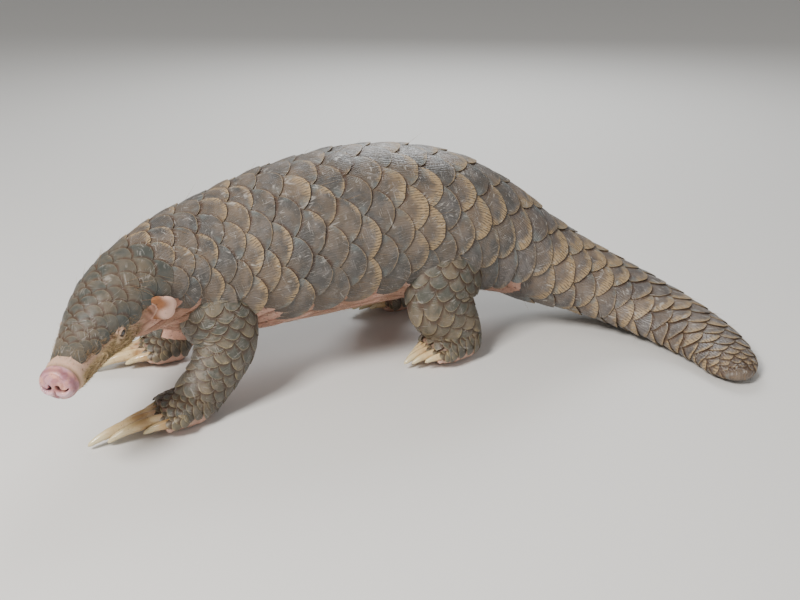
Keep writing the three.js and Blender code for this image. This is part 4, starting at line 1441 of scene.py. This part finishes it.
def plate_net(form, pitch_of, cover_of, columns, first, last, under=9):
    """Places of a form's plates: the s, pitch, arcs and spacing of each row, and where plates are."""
    stops = [END_STEP]
    while stops[-1] < form.length - END_STEP:
        stops.append(stops[-1] + ROW_STEP * float(pitch_of(stops[-1] / form.length)))
    s = np.array(stops[:-1])
    share = s / form.length
    half, pitch = form.half_girth(s)[:, None], pitch_of(share)[:, None]
    reach = cover_of(share)[:, None] * half
    column = np.arange(-1, 2 * columns + 2)[None, :]
    top = np.abs(np.minimum(column, 2 * columns - column))
    covered = reach / pitch
    beyond = reach + (top - covered) * (half - reach) / (columns - covered)
    arc = np.where(top <= covered, top * pitch, beyond)
    scaled = (arc <= reach + 1e-6) | (share[:, None] > under)
    scaled &= (share[:, None] > first) & (share[:, None] < last)
    scaled &= ((np.arange(len(s))[:, None] + column) % 2 == 0) & (column >= 0) & (column < 2 * columns)
    arc = np.where(column < 0, -arc, np.where(column > columns, 2 * half - arc, arc))
    arc = np.where(column > 2 * columns, 4 * half - arc, arc)
    spacing = (arc[:, 2:] - arc[:, :-2]) / 2
    return s, pitch[:, 0], arc[:, 1:-1], spacing, scaled[:, 1:-1]


def on_row(values, row, column):
    """A value of a plate net between two rows."""
    row = np.clip(row, 0, len(values) - 1)
    low = np.minimum(row.astype(int), len(values) - 2)
    part = row - low
    if values.ndim == 1:
        return values[low] * (1 - part) + values[low + 1] * part
    return values[low, column] * (1 - part) + values[low + 1, column] * part


def open_edge(scaled):
    """1 for each plate with no plate over some of its root, 0 for a plate among others."""
    ring = scaled[:, :-1]
    before, two_before = np.zeros_like(ring), np.zeros_like(ring)
    before[1:] = np.roll(ring, 1, axis=1)[:-1] & np.roll(ring, -1, axis=1)[:-1]
    two_before[2:] = ring[:-2]
    return 1 - (before & two_before)


scaled_body = (body, pitch_at, cover_at)
front_net = plate_net(*scaled_body, BODY_COLUMNS, FIRST_ROW, 1, UNDER_TAIL_FROM)
tail_net = plate_net(*scaled_body, TAIL_COLUMNS, FIRST_ROW, 1, UNDER_TAIL_FROM)
print(len(front_net[0]), "rows of plates from the brow to the tail's tip")

# %% [markdown]
# The map of the plates.
# Every plate has a square cell of the bake map of its piece, with a strip at the foot of the cell for
# its underside. The grid's own faces come first after Solidify, so the rest can be told from them.

# %% Map and thickness of plates
def place_on_atlas(mesh, u, v, number, side):
    """Gives each plate a cell of the map, side cells to a row."""
    cell = np.stack([number % side, number // side], axis=1)
    inside = np.stack([0.5 + 0.45 * u, 0.2 + 0.75 * v], axis=1)
    bake_map(mesh, (cell + inside) / side)


def move_underside(mesh, top_faces, side):
    """Moves the lower faces to the strip that every cell keeps for them."""
    layer = mesh.uv_layers["OFBake"].uv
    values = np.empty(len(layer) * 2, np.float32)
    layer.foreach_get("vector", values)
    values = values.reshape(-1, 2) * side
    lower = slice(mesh.polygons[top_faces].loop_start, mesh.polygons[2 * top_faces].loop_start)
    row = np.floor(values[lower, 1])
    values[lower, 1] = row + 0.03 + (values[lower, 1] - row - 0.2) * 0.13
    layer.foreach_set("vector", (values / side).ravel())


def thickened(name, mesh, share, thickness, side, finish):
    """Solid plates from thin ones, each as thick as its share of the thickness."""
    made = new_object(name, mesh)
    weights = made.vertex_groups.new(name="thickness")
    for value in np.unique(share.round(2)):
        weights.add(np.nonzero(share.round(2) == value)[0].tolist(), float(value), "REPLACE")
    solidify = made.modifiers.new("thickness", "SOLIDIFY")
    solidify.thickness, solidify.offset = thickness * MM, -1
    solidify.vertex_group = weights.name
    top_faces, top_points = len(mesh.polygons), len(mesh.vertices)
    mesh = applied(made)
    set_attributes(mesh, under=np.arange(len(mesh.vertices)) >= top_points)
    move_underside(mesh, top_faces, side)
    piece(name, mesh, finish, sharp=40)


print("a plate has", PLATE_ACROSS * PLATE_ALONG, "faces on its upper side")

# %% [markdown]
# Bending the plates.
# u runs from flank to flank and v from root to free edge. The free edge is a rounded arch, a little
# uneven and here and there chipped. Every plate is bowed, highest near its middle, and slightly
# shifted, tilted and toned by its own number.

# %% Pieces of plates
def plate_shape(grid_u, grid_v, i, c):
    """Across and along of plate points, in columns and rows from the tip, and their share v."""
    u = -np.sin((grid_u / PLATE_ACROSS - 0.5) * math.pi)
    v = 1 - (1 - grid_v / PLATE_ALONG) ** 1.2
    free = -1 + np.maximum(1 - np.abs(u) ** PLATE_CURVE, 0) ** (1 / PLATE_CURVE)
    chipped = CHIP * (stray(i, c, 8) > 0.2) * bump(u - 0.75 * stray(i, c, 9), 0.2)
    free = free + (RAGGED * stray(i * 7 + grid_u, c, 7) - chipped) * (1 - u**2)
    along = -PLATE_ROOT + (free + PLATE_ROOT) * v
    return u, v, u * (1 - 0.2 * ramp(-along, 1.3, PLATE_ROOT)), along


def plates(name, form, net, finish, chosen=None, rise=RISE):
    """One piece of all the chosen plates of a net."""
    places_s, pitch, arcs, spacing, scaled = net
    rows, columns = np.nonzero(scaled if chosen is None else scaled & chosen[:, None])
    one = grid_mesh("plate", PLATE_ACROSS, PLATE_ALONG)
    count, each = len(rows), len(one.vertices)
    mesh = repeated(name, one, count)
    i, c = np.repeat(rows, each), np.repeat(columns, each)
    u, v, across, along = plate_shape(*np.tile(coordinates(one)[:, :2].T, count), i, c)
    loose = np.clip(1 + along / 2, 0, 1)
    astray = loose * STRAY * pitch[i]
    s = on_row(places_s, i + along, c) + astray * stray(i, c)
    wide = on_row(spacing, i + along, c) * PLATE_WIDE
    arc = on_row(arcs, i + along, c) + across * wide + astray * stray(i, c, 1)
    tall = rise * pitch[i] * (1 + 0.12 * stray(i, c, 2))
    bowed = 1 + 0.14 * along - 0.18 * along**2 - 0.26 * across**2
    height = tall * (bowed + 0.1 * stray(i, c, 3) * across * loose - 0.07 * ramp(v, 0.9, 1))
    set_coordinates(mesh, above_floor(form.raised(s, arc, height) * MM, CLEAR["plates"]))
    set_attributes(
        mesh, across=across, along=along, pitch=pitch[i], tone=stray(i, c, 5),
        open=open_edge(scaled)[i, c], wear=ramp(s / form.length, 0.15, 0.62),
    )
    side = math.ceil(math.sqrt(count))
    place_on_atlas(mesh, u, v, np.arange(count).repeat(each), side)
    thickened(name, mesh, tall / tall.max(), THICK * tall.max(), side, finish)


HEAD_TO, TRUNK_MIDDLE, TAIL_FROM = 0.16, 0.4, 0.615  # shares of the body's length
BANDS = {
    "head": (front_net, horn_head, 0, HEAD_TO),
    "trunk_front": (front_net, horn_body, HEAD_TO, TRUNK_MIDDLE),
    "trunk_rear": (front_net, horn_body, TRUNK_MIDDLE, TAIL_FROM),
    "tail": (tail_net, horn_tail, TAIL_FROM, 1),
}
for band, (net, finish, start, end) in BANDS.items():
    share = net[0] / body.length
    plates("scales_" + band, body, net, finish, (share >= start) & (share < end))

# %% [markdown]
# The end of the tail and the limbs.
# The last row of plates leaves the very tip of the tail showing, so a last scale caps it. On legs,
# feet and toes the plates grow smaller and lie closer.

# %% Tail end and limb plates
LAST_SCALE = 6.5  # mm of the tail that its end scale caps
LIMB_NETS = {  # columns, first and last share of the length, height of a tip in pitches, finish
    "leg": (8, 0.2, 0.985, RISE, horn_legs),
    "foot": (7, 0.1, 1, 0.26, horn_legs),
    "toe": (4, 0.1, 1, 0.3, horn_toes),
}


def last_scale():
    """A cap over the tip of the tail."""
    centre, along, side, up, sizes = (v[0] for v in body.frame(body.length - LAST_SCALE))
    mesh = ball_mesh("cap", 36, 20)
    x, y, z = coordinates(mesh).T
    measures = [x * sizes[0], y * (LAST_SCALE + 0.3), np.where(z > 0, sizes[1], sizes[2]) * z]
    set_coordinates(mesh, (centre + laid_out(measures, (side, along, up))) * MM)
    set_attributes(mesh, across=0.8 * x, along=-1 - 0.4 * np.abs(z))
    set_attributes(mesh, pitch=12, tone=0.3, open=1, wear=1, under=0)
    place_on_atlas(mesh, x, y, np.zeros(len(x)), 1)
    piece("scale_tail_end", mesh, horn_tail)


last_scale()
for kind, side, lines, forms in limbs:
    for part, (columns, first, last, rise, finish) in LIMB_NETS.items():
        pitch, cover = LIMB_SCALES[kind][part]
        for number, form in enumerate(forms[part]):
            ending = f"_{number}" if part == "toe" else ""
            net = plate_net(form, even(pitch), even(cover), columns, first, last)
            plates(f"scales_{kind}{part}_{side_name(side)}{ending}", form, net, finish, rise=rise)

# %% [markdown]
# Claws and eyes.
# Each claw is a tapering tube on the solids' stations, bent down to the floor, with finer rings. The
# eyes are plain wet balls, deep in their lids.

# %% Claws and eyes
CLAW_BEND = [[0, 0, 1], [0.35, 1.5, 0.95], [0.7, -1.5, 0.72], [0.92, -6.5, 0.45], [1, -9.5, 0.24]]


def claw_mesh(kind, line, number):
    root, forward, long, size = line
    claws, reach, rows = CLAWS[kind], long + 12, []
    for u, rise, thick in CLAW_BEND:
        x, y, _ = root + forward * u * reach - SHIFT
        wide, high = claws["thick"] * thick * size, claws["high"] * thick * size
        rows.append([x, y, root[2] + rise * min(long / 40, 0.9), wide, high, high])
    form = Form(rows, [0, 0, 1], start_round=3, end_round=3)

    def shape(s, turn, outward):
        ridge = 0.12 * np.cos(turn * 7 + 0.4 * np.sin(s / 5)) * ramp(s / form.length, 0.2, 0.5)
        hollow = 0.55 * bump(np.abs(turn - math.pi), 0.45) * ramp(s / form.length, 0.3, 0.6)
        return outward * (ridge - hollow * size + 0.05 * np.sin(s / 1.3) - 0.1)[:, None]

    mesh = tube("claw", form, ring_places(form, 1.6), 26, shape)
    away = coordinates(mesh) / MM - root
    set_attributes(mesh, along=away @ forward / reach, across=away[:, 2] * 0.3, tone=number)
    return mesh


for kind, side, lines, forms in limbs:
    name = f"claws_{kind}foot_{side_name(side)}"
    claws = joined(name, [claw_mesh(kind, line, k) for k, line in enumerate(lines)])
    set_coordinates(claws, above_floor(coordinates(claws), CLEAR["claws"]))
    piece(name, claws, claw_horn)

for side in (-1, 1):
    place = np.array([EYE_S]), np.array([side * EYE_ARC])
    centre = body.at(*place) - body.normal(*place) * EYE["inset"]
    ball = ball_mesh("eye", 40, 28)
    set_coordinates(ball, (coordinates(ball) * EYE["radius"] + centre) * MM)
    piece("eyeball_" + side_name(side), ball, eye_gloss, ["eye_" + side_name(side)])

# %% [markdown]
# Hair.
# Pangolins aren't quite hairless: short buff hair lies on chin, cheeks and muzzle, fuzz grows round
# the edge of the head's scales, thin pale hairs are scattered on throat and belly, and a few stiff
# bristles stick out between the scales. Hair curves would be lost in the export, so each hair or tuft
# is a small bent cone of eleven faces. All tufts of a kind are copies of one cone in one mesh.

# %% Hair tufts
HAIR_COLOURS = {  # at the root and at the tip
    "hair_buff": ((0.22, 0.145, 0.055), (0.58, 0.44, 0.22)),
    "hair_brown": ((0.16, 0.085, 0.035), (0.4, 0.26, 0.12)),
    "hair_pale": ((0.5, 0.34, 0.24), (0.74, 0.62, 0.48)),
}


def hair_material(name):
    root_colour, tip_colour = HAIR_COLOURS[name]

    def build(g):
        colour = g.paint(
            g.mix(g.span(g.attribute("tip"), 0.1, 1), root_colour, tip_colour),
            (g.span(g.attribute("tone"), -1, 1, 0, 0.5), [0.55 * v for v in root_colour]),
        )
        return {"Base Color": colour, "Roughness": g.span(g.noise(g.position(), 700, 2), 0.3, 0.7, 0.45, 0.6)}

    return material(name, build)


def cone_steps(bm):
    """A cone of three sides and three lengths, from 0 to 1 along z."""
    bmesh.ops.create_cone(bm, cap_ends=True, segments=3, radius1=1, radius2=0.12, depth=1)
    bmesh.ops.translate(bm, vec=(0, 0, 0.5), verts=bm.verts)
    for height in (0.35, 0.7):
        everything = bm.verts[:] + bm.edges[:] + bm.faces[:]
        bmesh.ops.bisect_plane(bm, geom=everything, plane_co=(0, 0, height), plane_no=(0, 0, 1))


def tufts(name, finish, places, length, thick, lift, droop):
    """One piece of hairs, lying along the skin, lifted from it by an angle and bent."""
    roots, normals, lie, unwrap = places
    count = len(roots)
    one = shaped("tuft", cone_steps)
    x, y, z = np.tile(coordinates(one).T, count)
    each = len(one.vertices)
    mesh = repeated(name, one, count)
    jitter = unit(lie + 0.28 * rng.normal(size=(count, 3)))
    sideways = unit(np.cross(normals, jitter))
    tilt = (lift + 0.22 * rng.normal(size=count))[:, None]
    ahead = np.cross(sideways, normals) * np.cos(tilt) + normals * np.sin(tilt)
    length = length * (1 + 0.25 * rng.normal(size=count).clip(-1.8, 1.8))
    spread = (roots, ahead, sideways, np.cross(ahead, sideways), length, unwrap)
    root, ahead, sideways, above, length, unwrap = (np.repeat(v, each, axis=0) for v in spread)
    measures = z * length, x * thick, y * thick - droop * length * z**2
    placed = (root + laid_out(measures, (ahead, sideways, above))) * MM
    set_coordinates(mesh, above_floor(placed, CLEAR["hair"]))
    set_attributes(mesh, tip=z, tone=np.repeat(rng.uniform(-1, 1, count), each))
    bake_map(mesh, unwrap + 0.0015 * np.stack([x, 2 * z - 1], axis=1))
    piece(name, mesh, finish)


buff, brown, pale = (hair_material(name) for name in HAIR_COLOURS)
print("three colours of hair")

# %% [markdown]
# Where hair grows.
# The short coats are scattered over the body's own net of points, as thick as a density says. The
# bristles stand in the gaps where a plate slips under those before it.

# %% Coats and bristles
def scattered(count, density):
    """Roots on the body's hide, more of them where the density is high, with all that a tuft needs."""
    here = points.reshape(len(rings), -1, 3)
    down, across = (part.reshape(-1, 3) for part in np.gradient(here, axis=(0, 1)))
    area = np.linalg.norm(np.cross(down, across), axis=1)
    chance = area * density * (column < BODY_SIDES) * (row > 0)
    chosen = rng.choice(len(chance), count, p=chance / chance.sum())
    shift = rng.uniform(-0.5, 0.5, (count, 2))
    root = points[chosen] + down[chosen] * shift[:, :1] + across[chosen] * shift[:, 1:]
    unwrap = np.stack([s[chosen] / body.length, turn[chosen] / (2 * math.pi)], axis=1)
    return root - 0.25 * outward[chosen], outward[chosen], unit(down[chosen]), unwrap


def bristle_roots(net, form, start, end, count):
    """Roots of bristles between the plates from one share of a form to another."""
    places_s, pitch, arcs, _, scaled = net
    chosen = (places_s / form.length >= start) & (places_s / form.length < end)
    rows, columns = np.nonzero(scaled & chosen[:, None])
    pick = rng.choice(len(rows), count)
    i, c = rows[pick], columns[pick]
    aside = rng.uniform(-0.42, 0.42, count)
    back = -1.75 + 0.5 * np.abs(aside)
    at_s, at_arc = on_row(places_s, i + back, c), on_row(arcs, i + back, c) + aside * pitch[i]
    lie = unit(form.at(at_s + 2, at_arc) - form.at(at_s - 2, at_arc))
    unwrap = np.stack([at_s / form.length, np.mod(at_arc / (2 * form.half_girth(at_s)), 1)], axis=1)
    return form.at(at_s, at_arc), form.normal(at_s, at_arc), lie, unwrap


low = ramp(np.abs(arc) / half, 0.42, 0.56)
bare, lidless = 1 - scaled, 1 - socket
edge = ramp(cover_at(s / body.length) * half + 7 - np.abs(arc), 0, 3)
cheeks = bare * ramp(s, 10, 18) * (1 - ramp(s, 66, 88)) * (0.12 + low) * lidless * ~pad
brow = edge * bare * ramp(s, 19, 24) * (1 - ramp(s, 84, 100)) * lidless
below = bare * low * ramp(s, 84, 110) * (1 - ramp(s, 560, 640))
tufts("hair_face", buff, scattered(6400, cheeks), 3.3, 0.17, 0.5, 0.22)
tufts("hair_cap", brown, scattered(900, brow), 4.2, 0.16, 0.45, 0.1)
tufts("hair_belly", pale, scattered(1500, below), 7.5, 0.13, 0.35, 0.12)
trunk = bristle_roots(front_net, body, 0.12, TAIL_FROM, 220)
tufts("bristles_trunk", brown, trunk, 18, 0.2, 0.22, -0.02)
tail = bristle_roots(tail_net, body, TAIL_FROM, 1, 140)
tufts("bristles_tail", brown, tail, 15, 0.18, 0.24, -0.02)

# %% [markdown]
# Floor, light and camera.
# The photograph looks a little down on the animal from the front, so the camera stands in front and
# to the left of it, above the level of its back. A pale floor and large soft lamps show the horn.

# %% Stage
MIDDLE = (0, 0, 0.09)
LAMPS = {  # place, size, watts and colour
    "key": ((-1.2, -0.5, 1.3), 0.5, 50, (1, 0.97, 0.93)),
    "fill": ((0.6, -1.7, 0.8), 1.2, 7, (1, 1, 1)),
    "back": ((0.9, 1.3, 1.2), 0.8, 20, (0.95, 0.98, 1)),
}
# Degrees, and metres for the distance and for the point that the camera aims at.
CAMERA = {"azimuth": -30, "elevation": 22, "distance": 0.9, "lens": 45, "aim": (-0.006, -0.006, 0.08)}


def facing(made, away):
    """Turns a lamp or a camera so that it looks against a direction."""
    made.rotation_euler = (-away).to_track_quat("-Z", "Y").to_euler()


plain = shaped("floor", lambda bm: bmesh.ops.create_grid(bm, x_segments=1, y_segments=1, size=30))
plain.materials.append(material("floor", lambda g: {"Base Color": (0.68, 0.67, 0.65), "Roughness": 0.7}))
floor = new_object("floor", plain)
floor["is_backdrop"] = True

world = bpy.data.worlds.new("studio")
world.use_nodes = True
sky = world.node_tree.nodes["Background"].inputs
sky["Color"].default_value, sky["Strength"].default_value = (1.0, 0.99, 0.97, 1), 0.35
bpy.context.scene.world = world

for name, (place, size, watts, colour) in LAMPS.items():
    data = bpy.data.lights.new(name, "AREA")
    data.size, data.energy, data.color = size, watts, colour
    lamp = new_object(name, data)
    lamp.location = place
    facing(lamp, Vector(place) - Vector(MIDDLE))

lens = bpy.data.cameras.new("camera")
lens.lens = CAMERA["lens"]
camera = new_object("camera", lens)
azimuth, elevation = math.radians(CAMERA["azimuth"]), math.radians(CAMERA["elevation"])
level = math.cos(elevation)
away = Vector((math.sin(azimuth) * level, -math.cos(azimuth) * level, math.sin(elevation)))
camera.location = Vector(CAMERA["aim"]) + away * CAMERA["distance"]
facing(camera, away)
bpy.context.scene.camera = camera
print("camera at", [round(v, 2) for v in camera.location])

# %% [markdown]
# Last measures.
# The box of the finished animal is set beside the box of the solids.

# %% Sizes and finish
sizes = [[list(corner) for corner in box] for box in (cad_box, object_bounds())]
print("finished box", [[round(v, 4) for v in corner] for corner in sizes[1]])
